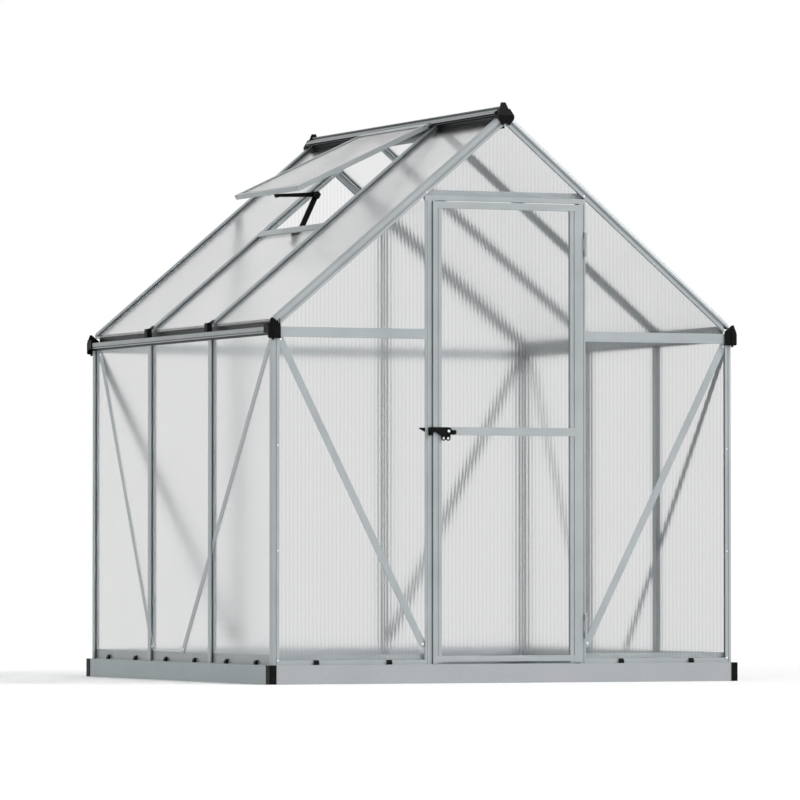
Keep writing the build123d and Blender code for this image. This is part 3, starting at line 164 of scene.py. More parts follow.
class Recipe:
    """One material's node tree while it is put together."""

    def __init__(self, name: str) -> None:
        """Start an empty tree that has only its output.

        Args:
            name: The material's name.
        """
        self.material = bpy.data.materials.new(name)
        self.material.use_nodes = True
        self.tree = self.material.node_tree
        self.tree.nodes.clear()
        self.output = self.tree.nodes.new("ShaderNodeOutputMaterial")

    def add(self, kind: str, feeds: dict[str | int, Feed], **options: str | bool | int) -> bpy.types.Node:
        """Add a node, set its options and feed its inputs.

        Args:
            kind: The node's type without its ShaderNode prefix.
            feeds: A value or a socket for each input that is set.
            **options: Settings of the node itself.

        Returns:
            The new node.
        """
        node = self.tree.nodes.new("ShaderNode" + kind)
        for option, value in options.items():
            setattr(node, option, value)
        for key, feed in feeds.items():
            if isinstance(feed, bpy.types.NodeSocket):
                self.tree.links.new(feed, node.inputs[key])
            else:
                node.inputs[key].default_value = feed
        return node

    def place(self) -> bpy.types.NodeSocket:
        """Return the place on the piece, in metres, which moves with the piece."""
        return self.add("TexCoord", {}).outputs["Object"]

    def stretched(self, place: bpy.types.NodeSocket, scale: Sequence[float]) -> bpy.types.NodeSocket:
        """Return the place scaled by its own factor along each axis."""
        return self.add("Mapping", {"Vector": place, "Scale": tuple(scale)}).outputs["Vector"]

    def down_roof(self, place: bpy.types.NodeSocket, pitch: float) -> bpy.types.NodeSocket:
        """Return the place with X down the slope, alike on both sides of the ridge.

        Args:
            place: The place on the piece.
            pitch: The roof's slope in radians.

        Returns:
            The turned place.
        """
        parts = self.add("SeparateXYZ", {"Vector": place})
        out = self.math("ABSOLUTE", parts.outputs["X"])
        folded = self.add("CombineXYZ", {"X": out, "Y": parts.outputs["Y"], "Z": parts.outputs["Z"]})
        turned = self.add(
            "VectorRotate",
            {"Vector": folded.outputs["Vector"], "Angle": -pitch},
            rotation_type="Y_AXIS",
        )
        return turned.outputs["Vector"]

    def noise(self, place: bpy.types.NodeSocket, scale: float, detail: float) -> bpy.types.NodeSocket:
        """Return soft noise from 0 to 1 at the given scale and depth of detail."""
        return self.add("TexNoise", {"Vector": place, "Scale": scale, "Detail": detail}).outputs["Fac"]

    def math(self, operation: str, first: Feed, second: Feed = 0.0) -> bpy.types.NodeSocket:
        """Return the result of one sum on two numbers."""
        return self.add("Math", {0: first, 1: second}, operation=operation).outputs["Value"]

    def graded(self, value: Feed, span: tuple[float, float], to: tuple[Feed, Feed]) -> bpy.types.NodeSocket:
        """Return a value moved from one range to another, held at its ends.

        Args:
            value: The number to move.
            span: The range that it comes from.
            to: The range that it goes to.

        Returns:
            The moved number.
        """
        feeds = {"Value": value, "From Min": span[0], "From Max": span[1], "To Min": to[0], "To Max": to[1]}
        return self.add("MapRange", feeds).outputs["Result"]

    def blend(self, share: Feed, low: Tint, high: Tint) -> bpy.types.NodeSocket:
        """Return a colour between two, by a share from 0 to 1."""
        ends = [end if isinstance(end, bpy.types.NodeSocket) else (*end, 1.0) for end in (low, high)]
        return self.add("Mix", {0: share, 6: ends[0], 7: ends[1]}, data_type="RGBA").outputs[2]

    def with_painted_shade(self, tint: Tint, corner_shade: CornerShade) -> bpy.types.NodeSocket:
        """Return a colour with painted shade in grooves and inner corners.

        Args:
            tint: The colour of the open faces.
            corner_shade: How far the painted shade reaches, over which range, and how dark it is.

        Returns:
            The colour with its painted shade.
        """
        found = self.add("AmbientOcclusion", {"Distance": corner_shade.reach}, only_local=corner_shade.own_walls, samples=8)
        return self.blend(self.graded(found.outputs["AO"], corner_shade.span, (0.0, 1.0)), corner_shade.shade_colour, tint)

    def relief(self, height: bpy.types.NodeSocket, strength: float, depth: float) -> bpy.types.NodeSocket:
        """Return a normal for fine relief of the given depth in metres."""
        feeds = {"Height": height, "Strength": strength, "Distance": depth}
        return self.add("Bump", feeds).outputs["Normal"]

    def surface(self, shader: bpy.types.Node) -> bpy.types.Material:
        """Wire the shader to the output and return the finished material."""
        self.tree.links.new(shader.outputs[0], self.output.inputs["Surface"])
        return self.material


@dataclass(frozen=True)
class SatinAluminium:
    """Drawn aluminium with a satin skin: fine lines along the bar over faint cloudy patches, and painted shade in
    its hollows.
    """

    name: str
    grain: Grain
    pale: Colour = (0.375, 0.405, 0.415)
    deep: Colour = (0.305, 0.333, 0.343)
    metallic: float = 0.35
    roughness: tuple[float, float] = (0.36, 0.50)
    lines_per_metre: float = 900.0
    line_stretch: float = 0.01
    clouds_per_metre: float = 7.0
    line_depth: float = 0.00008
    # Painted shade in grooves and inner corners.
    corner_shade: CornerShade = CornerShade()

    def make(self) -> bpy.types.Material:
        """Mix the metal.

        Returns:
            The material.
        """
        recipe = Recipe(self.name)
        place = recipe.place()
        run = recipe.down_roof(place, roof_pitch()) if self.grain is Grain.DOWN_ROOF else place
        scale = self.grain.line_scale(self.lines_per_metre, self.line_stretch)
        lines = recipe.noise(recipe.stretched(run, scale), 1.0, 2.0)
        clouds = recipe.noise(place, self.clouds_per_metre, 3.0)
        share = recipe.graded(recipe.math("ADD", clouds, lines), (0.7, 1.3), (0.0, 1.0))
        tint = recipe.blend(share, self.deep, self.pale)
        skin = recipe.add(
            "BsdfPrincipled",
            {
                # Painted shade: the colour is darkened in hollows by ambient occlusion.
                "Base Color": recipe.with_painted_shade(tint, self.corner_shade),
                "Metallic": self.metallic,
                "Roughness": recipe.graded(lines, (0.3, 0.7), self.roughness),
                "Normal": recipe.relief(lines, 0.35, self.line_depth),
            },
        )
        return recipe.surface(skin)


@dataclass(frozen=True)
class GalvanisedSheet:
    """Folded zinc-coated sheet: soft grey with a faint spangle and rolling lines."""

    name: str
    grain: Grain
    pale: Colour = (0.348, 0.361, 0.376)
    deep: Colour = (0.315, 0.329, 0.342)
    metallic: float = 0.3
    roughness: tuple[float, float] = (0.42, 0.56)
    spangles_per_metre: float = 160.0
    lines_per_metre: float = 500.0
    line_stretch: float = 0.008
    clouds_per_metre: float = 5.0
    spangle_depth: float = 0.00006

    def make(self) -> bpy.types.Material:
        """Mix the metal.

        Returns:
            The material.
        """
        recipe = Recipe(self.name)
        place = recipe.place()
        flakes = recipe.add("TexVoronoi", {"Vector": place, "Scale": self.spangles_per_metre})
        tone = recipe.math("MULTIPLY", flakes.outputs["Distance"], 0.5)
        clouds = recipe.noise(place, self.clouds_per_metre, 3.0)
        scale = self.grain.line_scale(self.lines_per_metre, self.line_stretch)
        lines = recipe.noise(recipe.stretched(place, scale), 1.0, 2.0)
        share = recipe.graded(recipe.math("ADD", clouds, tone), (0.45, 1.0), (0.0, 1.0))
        skin = recipe.add(
            "BsdfPrincipled",
            {
                "Base Color": recipe.blend(share, self.deep, self.pale),
                "Metallic": self.metallic,
                "Roughness": recipe.graded(lines, (0.3, 0.7), self.roughness),
                "Normal": recipe.relief(flakes.outputs["Distance"], 0.15, self.spangle_depth),
            },
        )
        return recipe.surface(skin)


@dataclass(frozen=True)
class TwinWallSheet:
    """Clear hollow sheet: two skins on upright webs, which show as rows of faint ribs."""

    name: str
    across: Across
    pitch: float
    web: Colour = (0.780, 0.783, 0.786)
    skin: Colour = (0.862, 0.863, 0.865)
    dusty: Colour = (0.852, 0.854, 0.857)
    web_half: float = 0.0020
    roughness: tuple[float, float] = (0.15, 0.19)
    web_roughness: float = 0.22
    bend: float = 1.12
    shade: Colour = (0.85, 0.852, 0.855)
    haze_per_metre: float = 3.0

    def make(self) -> bpy.types.Material:
        """Mix the sheet, which lets the lamps through with a light tint.

        Returns:
            The material.
        """
        recipe = Recipe(self.name)
        place = recipe.place()
        parts = recipe.add("SeparateXYZ", {"Vector": place})
        count = recipe.math("DIVIDE", parts.outputs[self.across.value], self.pitch)
        middle = recipe.math("ABSOLUTE", recipe.math("SUBTRACT", recipe.math("FRACT", count), 0.5))
        reach = self.web_half / self.pitch
        rib = recipe.graded(middle, (0.5 - reach, 0.5 - 0.5 * reach), (0.0, 1.0))
        haze = recipe.noise(place, self.haze_per_metre, 2.0)
        base = recipe.blend(recipe.graded(haze, (0.3, 0.7), (0.0, 1.0)), self.skin, self.dusty)
        blur = recipe.graded(haze, (0.3, 0.7), self.roughness)
        body = recipe.add(
            "BsdfPrincipled",
            {
                "Base Color": recipe.blend(rib, base, self.web),
                "Roughness": recipe.graded(rib, (0.0, 1.0), (blur, self.web_roughness)),
                "IOR": self.bend,
                "Transmission Weight": 1.0,
            },
        )
        tint = recipe.add("BsdfTransparent", {"Color": (*self.shade, 1.0)})
        path = recipe.add("LightPath", {})
        whole = recipe.add(
            "MixShader",
            {0: path.outputs["Is Shadow Ray"], 1: body.outputs["BSDF"], 2: tint.outputs["BSDF"]},
        )
        return recipe.surface(whole)


@dataclass(frozen=True)
class BlackMoulding:
    """Moulded black plastic with a fine spark-eroded texture and paler scuffs."""

    name: str
    base: Colour = (0.0032, 0.0033, 0.0034)
    scuff: Colour = (0.008, 0.0082, 0.0084)
    roughness: tuple[float, float] = (0.38, 0.54)
    shine: float = 0.07
    grains_per_metre: float = 1400.0
    scuffs_per_metre: float = 45.0
    grain_depth: float = 0.00012

    def make(self) -> bpy.types.Material:
        """Mix the plastic.

        Returns:
            The material.
        """
        recipe = Recipe(self.name)
        place = recipe.place()
        grain = recipe.noise(place, self.grains_per_metre, 2.0)
        scuffs = recipe.noise(place, self.scuffs_per_metre, 4.0)
        share = recipe.graded(scuffs, (0.5, 0.8), (0.0, 1.0))
        skin = recipe.add(
            "BsdfPrincipled",
            {
                "Base Color": recipe.blend(share, self.base, self.scuff),
                "Roughness": recipe.graded(scuffs, (0.35, 0.7), self.roughness),
                "Specular IOR Level": self.shine,
                "Normal": recipe.relief(grain, 0.3, self.grain_depth),
            },
        )
        return recipe.surface(skin)


@dataclass(frozen=True)
class ZincSteel:
    """Bright zinc-plated steel of the fixings, with turning marks and dull spots."""

    name: str
    bright: Colour = (0.90, 0.91, 0.92)
    dull: Colour = (0.70, 0.71, 0.72)
    roughness: tuple[float, float] = (0.24, 0.42)
    spots_per_metre: float = 260.0
    marks_per_metre: float = 1800.0
    mark_depth: float = 0.00004

    def make(self) -> bpy.types.Material:
        """Mix the metal.

        Returns:
            The material.
        """
        recipe = Recipe(self.name)
        place = recipe.place()
        spots = recipe.noise(place, self.spots_per_metre, 3.0)
        marks = recipe.noise(place, self.marks_per_metre, 1.0)
        skin = recipe.add(
            "BsdfPrincipled",
            {
                "Base Color": recipe.blend(recipe.graded(spots, (0.35, 0.65), (0.0, 1.0)), self.dull, self.bright),
                "Metallic": 0.9,
                "Roughness": recipe.graded(spots, (0.3, 0.7), self.roughness),
                "Normal": recipe.relief(marks, 0.2, self.mark_depth),
            },
        )
        return recipe.surface(skin)


@dataclass(frozen=True)
class StudioFloor:
    """Matt pale floor that keeps the shadow, and is plain white in gloss and through clear sheets."""

    name: str = "studio_floor"
    tone: Colour = (0.985, 0.985, 0.985)
    white: Colour = (1.0, 1.0, 1.0)

    def make(self) -> bpy.types.Material:
        """Mix the floor.

        Returns:
            The material.
        """
        recipe = Recipe(self.name)
        matt = recipe.add("BsdfDiffuse", {"Color": (*self.tone, 1.0)})
        plain = recipe.add("Emission", {"Color": (*self.white, 1.0), "Strength": 1.0})
        path = recipe.add("LightPath", {})
        through = recipe.math("MAXIMUM", path.outputs["Is Glossy Ray"], path.outputs["Is Transmission Ray"])
        first = recipe.math("LESS_THAN", path.outputs["Diffuse Depth"], 0.5)
        seen = recipe.math("MULTIPLY", through, first)
        whole = recipe.add("MixShader", {0: seen, 1: matt.outputs["BSDF"], 2: plain.outputs["Emission"]})
        return recipe.surface(whole)


class Finishes:
    """Every finish of the greenhouse, mixed once and handed out by what it is for."""

    def __init__(self, rib_pitch: float) -> None:
        """Mix the finishes.

        Args:
            rib_pitch: Distance from web to web of the sheets.
        """
        self.bars = {grain: SatinAluminium(f"satin_aluminium_{grain.value}", grain).make() for grain in Grain}
        # Painted shade for the ridge and gutters: a darker copy of the bar finish, whose hollows are painted
        # near-black by ambient occlusion that also counts the neighbouring sheets.
        shaded = CornerShade(reach=0.05, shade_colour=(0.010, 0.012, 0.013), span=(0.6, 0.95), own_walls=False)
        self.channel = SatinAluminium(
            "satin_aluminium_channel_shaded",
            Grain.ALONG_Y,
            pale=(0.300, 0.326, 0.334),
            deep=(0.245, 0.268, 0.276),
            corner_shade=shaded,
        ).make()
        # Painted shade for the hinge leaves: only a thin band in their inner corners.
        shallow_shade = CornerShade(reach=0.003)
        self.leaf = SatinAluminium("satin_aluminium_leaf", Grain.ALONG_Z, corner_shade=shallow_shade).make()
        self.base = {
            Grain.ALONG_X: GalvanisedSheet("galvanised_sheet_x", Grain.ALONG_X).make(),
            # Painted shade: the side rails' copy of the galvanised finish is darker, standing in for the shade on
            # the sides.
            Grain.ALONG_Y: GalvanisedSheet(
                "galvanised_sheet_y_shaded",
                Grain.ALONG_Y,
                pale=(0.297, 0.342, 0.350),
                deep=(0.269, 0.311, 0.319),
            ).make(),
        }
        self.sheets = {
            Across.X: TwinWallSheet("twin_wall_sheet_x", Across.X, rib_pitch).make(),
            Across.Y: TwinWallSheet(
                "twin_wall_sheet_y",
                Across.Y,
                rib_pitch,
                web=(0.820, 0.823, 0.826),
                roughness=(0.13, 0.17),
                web_roughness=0.20,
                shade=(0.70, 0.705, 0.71),
            ).make(),
        }
        self.black = BlackMoulding("black_moulding").make()
        self.zinc = ZincSteel("zinc_steel").make()


def paint(piece: bpy.types.Object, finish: bpy.types.Material) -> bpy.types.Object:
    """Give a piece one finish all over.

    Args:
        piece: The piece to paint.
        finish: Its material.

    Returns:
        The same piece.
    """
    piece.data.materials.clear()
    piece.data.materials.append(finish)
    for face in piece.data.polygons:
        face.material_index = 0
    return piece


def paint_nodes(names: Sequence[str], finish: bpy.types.Material) -> list[bpy.types.Object]:
    """Paint CAD nodes and return them."""
    return [paint(frame["nodes"][name], finish) for name in names]


def body_of(node: str) -> str:
    """Return the name of the body that carries a CAD node."""
    return frame["nodes"][node]["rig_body"]


def islands(node: str) -> Iterator[tuple[list[Vector], Vector]]:
    """Find the separate solids of a CAD node.

    Args:
        node: The node's name.

    Returns:
        For each solid, its corners and the normal of its largest face.
    """
    mesh = bmesh.new()
    mesh.from_mesh(frame["nodes"][node].data)
    bmesh.ops.remove_doubles(mesh, verts=mesh.verts, dist=WELD)
    seen: set[bmesh.types.BMVert] = set()
    for start in mesh.verts:
        if start in seen:
            continue
        seen.add(start)
        group = [start]
        for corner in group:
            linked = {edge.other_vert(corner) for edge in corner.link_edges} - seen
            seen |= linked
            group.extend(sorted(linked, key=lambda vertex: vertex.index))
        faces = {face for corner in group for face in corner.link_faces}
        largest = max(faces, key=lambda face: (round(face.calc_area(), 9), -face.index))
        yield [corner.co.copy() for corner in group], largest.normal.copy()
    mesh.free()


def new_piece(name: str, mesh: bmesh.types.BMesh, smooth_under: float) -> bpy.types.Object:
    """Turn a finished bmesh into an object of the scene.

    Args:
        name: The piece's name.
        mesh: Its geometry, which is freed.
        smooth_under: Edges flatter than this angle are shaded smooth.

    Returns:
        The new object.
    """
    bmesh.ops.recalc_face_normals(mesh, faces=mesh.faces)
    data = bpy.data.meshes.new(name)
    mesh.to_mesh(data)
    mesh.free()
    data.shade_smooth()
    data.set_sharp_from_angle(angle=smooth_under)
    piece = bpy.data.objects.new(name, data)
    bpy.context.scene.collection.objects.link(piece)
    return piece


def stand_in(piece: bpy.types.Object, node: str, slot: str) -> bpy.types.Object:
    """Put a new piece in place of a CAD node, on the node's own body.

    Args:
        piece: The new piece.
        node: The node that it stands for.
        slot: The record's material slot; not used.

    Returns:
        The same piece.
    """
    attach(piece, body_of(node))
    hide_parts(node)
    return piece


@dataclass
class Plinth:
    """The folded metal base and its black corner caps."""

    cap_node: str = "plinth_corner_caps"

    def dress(self, finishes: Finishes) -> list[bpy.types.Object]:
        """Finish the base.

        Args:
            finishes: The mixed finishes.

        Returns:
            The dressed pieces.
        """
        level = paint_nodes(("plinth_rail_front", "plinth_rail_back"), finishes.base[Grain.ALONG_X])
        # Painted shade: the side rails take the darker copy of the galvanised finish.
        deep = paint_nodes(("plinth_rail_left", "plinth_rail_right"), finishes.base[Grain.ALONG_Y])
        return level + deep + paint_nodes((self.cap_node,), finishes.black)


@dataclass
class WallFrame:
    """Posts, rails, ties and braces of the four walls."""

    upright: tuple[str, ...] = ("corner_posts", "wall_posts_sides", "wall_posts_back", "door_jambs")
    along_x: tuple[str, ...] = (
        "door_header",
        "sill_rails_back",
        "sill_rails_front",
        "tie_rails_front",
        "tie_rails_back",
    )
    along_y: tuple[str, ...] = ("sill_rails_sides",)
    braces: tuple[str, ...] = ("braces_gables", "braces_sides")
    mouldings: tuple[str, ...] = ("panel_clips",)

    def dress(self, finishes: Finishes) -> list[bpy.types.Object]:
        """Finish the wall frame.

        Args:
            finishes: The mixed finishes.

        Returns:
            The dressed pieces.
        """
        return [
            *paint_nodes(self.upright + self.braces, finishes.bars[Grain.ALONG_Z]),
            *paint_nodes(self.along_x, finishes.bars[Grain.ALONG_X]),
            *paint_nodes(self.along_y, finishes.bars[Grain.ALONG_Y]),
            *paint_nodes(self.mouldings, finishes.black),
        ]


@dataclass
class RoofFrame:
    """Rafters, ridge, gutters and the black mouldings at their ends."""

    sloping: tuple[str, ...] = ("gable_rafters_front", "gable_rafters_back", "roof_rafters")
    channels: tuple[str, ...] = ("ridge_beam", "gutter_left", "gutter_right")
    mouldings: tuple[str, ...] = ("gutter_end_caps", "ridge_end_caps", "rafter_foot_clips")

    def dress(self, finishes: Finishes) -> list[bpy.types.Object]:
        """Finish the roof frame.

        Args:
            finishes: The mixed finishes.

        Returns:
            The dressed pieces.
        """
        return [
            *paint_nodes(self.sloping, finishes.bars[Grain.DOWN_ROOF]),
            # The ridge and gutters take the darker finish with painted shade in their hollows.
            *paint_nodes(self.channels, finishes.channel),
            *paint_nodes(("vent_sill",), finishes.bars[Grain.ALONG_Y]),
            *paint_nodes(self.mouldings, finishes.black),
        ]


@dataclass
class Glazing:
    """The twin-wall sheets of the walls, gables, roof, door and vent, with their skins dished between webs."""

    pitch: float = 0.015
    dish: float = 0.00015
    stations: tuple[float, ...] = (0.0, 0.1, 0.22, 0.36, 0.5, 0.64, 0.78, 0.9)
    point_clip: float = 0.0001
    least_step: float = 0.0003
    smooth_under: float = math.radians(35.0)
    walls: tuple[tuple[str, Across, str], ...] = (
        ("wall_panels_left", Across.Y, "wall_sheet"),
        ("wall_panels_right", Across.Y, "wall_sheet"),
        ("wall_panels_back", Across.X, "wall_sheet"),
        ("wall_panels_front", Across.X, "wall_sheet"),
        ("gable_panels_front", Across.X, "wall_sheet"),
        ("gable_panels_back", Across.X, "wall_sheet"),
        ("door_panels", Across.X, "wall_sheet"),
        ("roof_panels_left", Across.Y, "roof_sheet"),
        ("roof_panels_right", Across.Y, "roof_sheet"),
        ("vent_panel", Across.Y, "roof_sheet"),
    )

    def breaks(self, outline: Sequence[Vector]) -> list[float]:
        """List where a sheet's skins change slope, from one side to the other.

        Args:
            outline: The sheet's corners, across and up.

        Returns:
            Distances across the sheet, in order.
        """
        corners = sorted({round(corner.x, 6) for corner in outline})
        first, last = corners[0] + self.point_clip, corners[-1] - self.point_clip
        fixed = [first, *(corner for corner in corners if first < corner < last), last]
        found = list(fixed)
        for cell in range(math.floor(first / self.pitch), math.ceil(last / self.pitch)):
            for station in self.stations:
                place = (cell + station) * self.pitch
                if first < place < last and min(abs(place - other) for other in fixed) > self.least_step:
                    found.append(place)
        return sorted(found)

    def reach(self, outline: Sequence[Vector], place: float) -> tuple[float, float]:
        """Find the lowest and highest point of an outline at one distance across it.

        Args:
            outline: The corners in order round the sheet, across and up.
            place: The distance across.

        Returns:
            The lowest and highest distance up.
        """
        heights = []
        for start, end in zip(outline, [*outline[1:], outline[0]]):
            low, high = min(start.x, end.x), max(start.x, end.x)
            if low <= place <= high and high - low > WELD:
                heights.append(start.y + (end.y - start.y) * (place - start.x) / (end.x - start.x))
        return min(heights), max(heights)

    def dip(self, place: float) -> float:
        """Return how far the skins are dished in at a distance across the sheet."""
        return self.dish * abs(math.sin(math.pi * place / self.pitch))

    def add_sheet(self, mesh: bmesh.types.BMesh, corners: Sequence[Vector], normal: Vector, across: Vector) -> None:
        """Add one closed ribbed sheet to a mesh.

        Args:
            mesh: The mesh that takes the sheet.
            corners: The flat sheet's corners.
            normal: Its facing.
            across: The level direction over the ribs.
        """
        up = normal.cross(across).normalized()
        flat = [Vector((corner.dot(across), corner.dot(up))) for corner in corners]
        outline = [flat[index] for index in convex_hull_2d(flat)]
        depths = [corner.dot(normal) for corner in corners]
        rings = []
        for place in self.breaks(outline):
            low, high = self.reach(outline, place)
            front, back = max(depths) - self.dip(place), min(depths) + self.dip(place)
            ring = ((low, front), (high, front), (high, back), (low, back))
            rings.append([mesh.verts.new(across * place + up * rise + normal * depth) for rise, depth in ring])
        for ring, after in zip(rings, rings[1:]):
            for side in range(4):
                other = (side + 1) % 4
                mesh.faces.new((ring[side], ring[other], after[other], after[side]))
        mesh.faces.new(reversed(rings[0]))
        mesh.faces.new(rings[-1])

    def dress(self, finishes: Finishes) -> list[bpy.types.Object]:
        """Build every sheet in place of its plain slab.

        Args:
            finishes: The mixed finishes.

        Returns:
            The new sheets.
        """
        sheets = []
        for node, across, slot in self.walls:
            mesh = bmesh.new()
            for corners, normal in islands(node):
                self.add_sheet(mesh, corners, normal, across.direction())
            sheet = new_piece(node.replace("panel", "sheet"), mesh, self.smooth_under)
            sheets.append(stand_in(paint(sheet, finishes.sheets[across]), node, slot))
        return sheets


@dataclass
class Door:
    """The hinged door's bars and hinges."""

    upright: tuple[str, ...] = ("door_stile_latch_side", "door_stile_hinge_side")
    along_x: tuple[str, ...] = ("door_bottom_rail", "door_middle_rail", "door_top_rail")
    leaves: tuple[str, ...] = ("hinge_door_leaves", "hinge_jamb_leaves")

    def dress(self, finishes: Finishes) -> list[bpy.types.Object]:
        """Finish the door.

        Args:
            finishes: The mixed finishes.

        Returns:
            The dressed pieces.
        """
        return [
            *paint_nodes(self.upright, finishes.bars[Grain.ALONG_Z]),
            *paint_nodes(self.along_x, finishes.bars[Grain.ALONG_X]),
            *paint_nodes(self.leaves, finishes.leaf),
            *paint_nodes(("hinge_pins",), finishes.zinc),
        ]


@dataclass
class Latch:
    """The black turning latch: plate, lever and keeper, with the lever's bright pivot screw."""

    mouldings: tuple[str, ...] = ("latch_plate", "latch_lever", "latch_keeper")
    pivot: str = "latch_pivot_screw"

    def dress(self, finishes: Finishes) -> list[bpy.types.Object]:
        """Finish the latch.

        Args:
            finishes: The mixed finishes.

        Returns:
            The dressed pieces.
        """
        return paint_nodes(self.mouldings, finishes.black) + paint_nodes((self.pivot,), finishes.zinc)


@dataclass
class Vent:
    """The roof vent's bars and the black stay that props it."""

    along_y: tuple[str, ...] = ("vent_hinge_rail", "vent_bottom_rail")
    sloping: tuple[str, ...] = ("vent_side_rails",)
    stay: tuple[str, ...] = (
        "stay_vent_bracket",
        "stay_upper_link",
        "stay_elbow_knob",
        "stay_lower_link",
        "stay_sill_bracket",
    )

    def dress(self, finishes: Finishes) -> list[bpy.types.Object]:
        """Finish the vent.

        Args:
            finishes: The mixed finishes.

        Returns:
            The dressed pieces.
        """
        return [
            *paint_nodes(self.along_y, finishes.bars[Grain.ALONG_Y]),
            *paint_nodes(self.sloping, finishes.bars[Grain.DOWN_ROOF]),
            *paint_nodes(self.stay, finishes.black),
        ]


@dataclass(frozen=True)
class Ring:
    """One ring of a turned fixing: its radius, its height along the axis and its outline."""

    radius: float
    height: float
    section: Section = Section.ROUND

    def points(self, centre: Vector, axis: Vector, sides: int) -> list[Vector]:
        """Place the ring's points round an axis.

        Args:
            centre: The axis's foot.
            axis: Its direction.
            sides: Number of points.

        Returns:
            The points in order.
        """
        first = axis.orthogonal().normalized()
        second = axis.cross(first)
        points = []
        for step in range(sides):
            turn = math.tau * step / sides
            reach = self.radius
            if self.section is Section.HEXAGON:
                flat = math.pi / 6.0
                reach *= math.cos(flat) / math.cos(turn % (2.0 * flat) - flat)
            out = first * math.cos(turn) + second * math.sin(turn)
            points.append(centre + axis * self.height + out * reach)
        return points


@dataclass
class Fastenings:
    """Screws of the frame and bolts of the braces, with hexagon sockets and nuts."""

    sides: int = 24
    head_height: float = 0.002
    socket_share: float = 0.45
    socket_depth: float = 0.0012
    shank_share: float = 0.55
    bolt_head: float = 0.0025
    nut_height: float = 0.003
    smooth_under: float = math.radians(40.0)

    def turn(self, mesh: bmesh.types.BMesh, rings: Sequence[Ring], centre: Vector, axis: Vector) -> None:
        """Add one closed turned solid.

        Args:
            mesh: The mesh that takes it.
            rings: Its rings from one end to the other.
            centre: The foot of its axis.
            axis: The axis's direction.
        """
        loops = [
            [mesh.verts.new(point) for point in ring.points(centre, axis, self.sides)] for ring in rings
        ]
        for loop, after in zip(loops, loops[1:]):
            for step in range(self.sides):
                other = (step + 1) % self.sides
                mesh.faces.new((loop[step], loop[other], after[other], after[step]))
        mesh.faces.new(reversed(loops[0]))
        mesh.faces.new(loops[-1])

    def screw_rings(self, radius: float, length: float) -> list[Ring]:
        """Return a screw's rings from its tip to the bottom of its socket.

        Args:
            radius: Radius of the head.
            length: Length with the head.

        Returns:
            The rings.
        """
        shank, seat = radius * self.shank_share, length - self.head_height
        socket, floor = radius * self.socket_share, length - self.socket_depth
        return [
            Ring(shank * 0.6, 0.0),
            Ring(shank, length * 0.15),
            Ring(shank, seat),
            Ring(radius, seat),
            Ring(radius, seat + self.head_height * 0.35),
            Ring(radius * 0.86, seat + self.head_height * 0.8),
            Ring(radius * 0.62, length),
            Ring(socket, length, Section.HEXAGON),
            Ring(socket, floor, Section.HEXAGON),
        ]

    def bolt_rings(self, radius: float, length: float) -> list[Ring]:
        """Return a bolt's rings from its nut to the bottom of its socket.

        Args:
            radius: Radius of the head.
            length: Length with the nut and the head.

        Returns:
            The rings.
        """
        shank, seat = radius * self.shank_share, length - self.bolt_head
        socket, floor = radius * self.socket_share, length - self.socket_depth
        return [
            Ring(shank * 0.8, 0.0),
            Ring(radius * 0.9, 0.0, Section.HEXAGON),
            Ring(radius, self.nut_height * 0.15, Section.HEXAGON),
            Ring(radius, self.nut_height, Section.HEXAGON),
            Ring(shank, self.nut_height),
            Ring(shank, seat),
            Ring(radius, seat),
            Ring(radius, seat + self.bolt_head * 0.4),
            Ring(radius * 0.84, seat + self.bolt_head * 0.85),
            Ring(radius * 0.6, length),
            Ring(socket, length, Section.HEXAGON),
            Ring(socket, floor, Section.HEXAGON),
        ]

    def dress(self, finishes: Finishes) -> list[bpy.types.Object]:
        """Build the screws and bolts in place of their plain solids.

        Args:
            finishes: The mixed finishes.

        Returns:
            The new pieces.
        """
        pieces = []
        for node, rings_for in (("frame_screws", self.screw_rings), ("brace_bolts", self.bolt_rings)):
            mesh = bmesh.new()
            for corners, _ in islands(node):
                low = Vector(min(corner[axis] for corner in corners) for axis in range(3))
                high = Vector(max(corner[axis] for corner in corners) for axis in range(3))
                size, centre = high - low, (low + high) / 2.0
                level = 0 if size.x > size.y else 1
                axis = Across(level).direction() * math.copysign(1.0, centre[level])
                foot = centre - axis * size[level] / 2.0
                self.turn(mesh, rings_for(size.z / 2.0, size[level]), foot, axis)
            piece = new_piece(node + "_turned", mesh, self.smooth_under)
            pieces.append(stand_in(paint(piece, finishes.zinc), node, "steel"))
        return pieces


@dataclass(frozen=True)
class Lamp:
    """One broad lamp of the studio: the way that it stands, its strength and its spread."""

    name: str
    stands: tuple[float, float, float]
    strength: float
    spread: float

    def hang(self) -> bpy.types.Object:
        """Hang the lamp so that it shines on the part.

        Returns:
            The lamp.
        """
        data = bpy.data.lights.new(self.name, "SUN")
        data.energy = self.strength
        data.angle = self.spread
        lamp = bpy.data.objects.new(self.name, data)
        lamp.rotation_euler = Vector(self.stands).to_track_quat("Z", "Y").to_euler()
        bpy.context.scene.collection.objects.link(lamp)
        return lamp


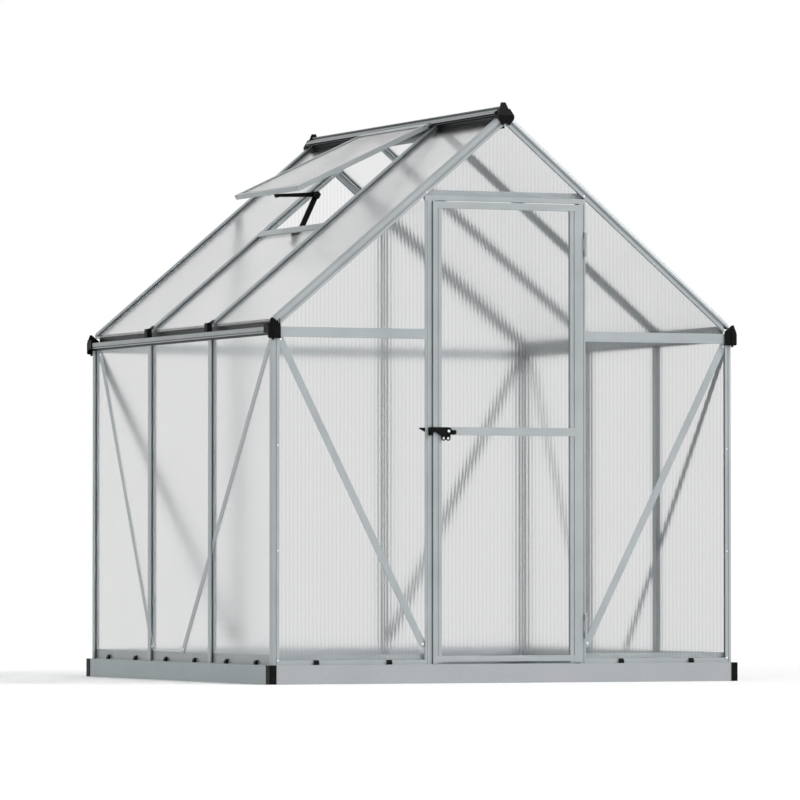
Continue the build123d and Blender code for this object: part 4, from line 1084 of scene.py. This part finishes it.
@dataclass
class Studio:
    """Pale floor, soft lamps, white surroundings and the camera at the photograph's angle."""

    camera_place: tuple[float, float, float] = (-9.150, -21.017, 0.413)
    camera_tilt: float = math.radians(91.574)
    camera_turn: float = math.radians(-23.478)
    lens: float = 275.3
    far_clip: float = 2000.0
    floor_half: float = 600.0
    floor_drop: float = 0.0005
    lamps: tuple[Lamp, ...] = (
        Lamp("key_lamp", (0.85, -0.62, 0.72), 2.5, math.radians(30.0)),
        Lamp("fill_lamp", (-0.88, -0.40, 0.30), 0.8, math.radians(60.0)),
    )
    ambient: float = 0.50

    def lay_floor(self) -> bpy.types.Object:
        """Lay the floor under the part.

        Returns:
            The floor.
        """
        mesh = bmesh.new()
        bmesh.ops.create_grid(mesh, x_segments=1, y_segments=1, size=self.floor_half)
        floor = new_piece("studio_floor", mesh, math.pi)
        floor.location.z = -self.floor_drop
        paint(floor, StudioFloor().make())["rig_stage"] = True
        return floor

    def surround(self) -> None:
        """Set white surroundings for sight, gloss and clear sheets, and a softer light for the rest."""
        world = bpy.data.worlds.new("white_surround")
        world.use_nodes = True
        tree = world.node_tree
        tree.nodes.clear()
        path = tree.nodes.new("ShaderNodeLightPath")
        seen = path.outputs["Is Camera Ray"]
        for ray in ("Is Glossy Ray", "Is Transmission Ray"):
            either = tree.nodes.new("ShaderNodeMath")
            either.operation = "MAXIMUM"
            tree.links.new(seen, either.inputs[0])
            tree.links.new(path.outputs[ray], either.inputs[1])
            seen = either.outputs["Value"]
        level = tree.nodes.new("ShaderNodeMapRange")
        tree.links.new(seen, level.inputs["Value"])
        level.inputs["To Min"].default_value = self.ambient
        light = tree.nodes.new("ShaderNodeBackground")
        light.inputs["Color"].default_value = (1.0, 1.0, 1.0, 1.0)
        tree.links.new(level.outputs["Result"], light.inputs["Strength"])
        output = tree.nodes.new("ShaderNodeOutputWorld")
        tree.links.new(light.outputs["Background"], output.inputs["Surface"])
        bpy.context.scene.world = world

    def set_camera(self) -> bpy.types.Object:
        """Stand the camera where the photograph was taken from.

        Returns:
            The camera.
        """
        data = bpy.data.cameras.new("camera")
        data.lens = self.lens
        data.clip_end = self.far_clip
        camera = bpy.data.objects.new("camera", data)
        camera.location = self.camera_place
        camera.rotation_euler = Euler((self.camera_tilt, 0.0, self.camera_turn))
        bpy.context.scene.collection.objects.link(camera)
        bpy.context.scene.camera = camera
        return camera

    def set_up(self) -> None:
        """Put the whole studio round the part."""
        bpy.context.scene.view_settings.view_transform = "Standard"
        for thing in (self.lay_floor(), *(lamp.hang() for lamp in self.lamps), self.set_camera()):
            LOG.info("studio: %s", thing.name)
        self.surround()


def note_size() -> None:
    """Gather the CAD box and the dressed part's box as plain lists."""
    boxes = {"cad": CAD_BOX, "visual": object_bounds()}
    plain = {name: [list(corner) for corner in box] for name, box in boxes.items()}


def main() -> None:
    """Dress each sub-assembly in turn, set the studio and gather the boxes."""
    logging.basicConfig(level=logging.INFO, format="%(name)s: %(message)s")
    glazing = Glazing()
    finishes = Finishes(glazing.pitch)
    for assembly in (Plinth(), WallFrame(), RoofFrame(), glazing, Door(), Latch(), Vent(), Fastenings()):
        for piece in assembly.dress(finishes):
            LOG.info("%s: %s", type(assembly).__name__, piece.name)
    Studio().set_up()
    note_size()


if __name__ == "__main__":
    main()
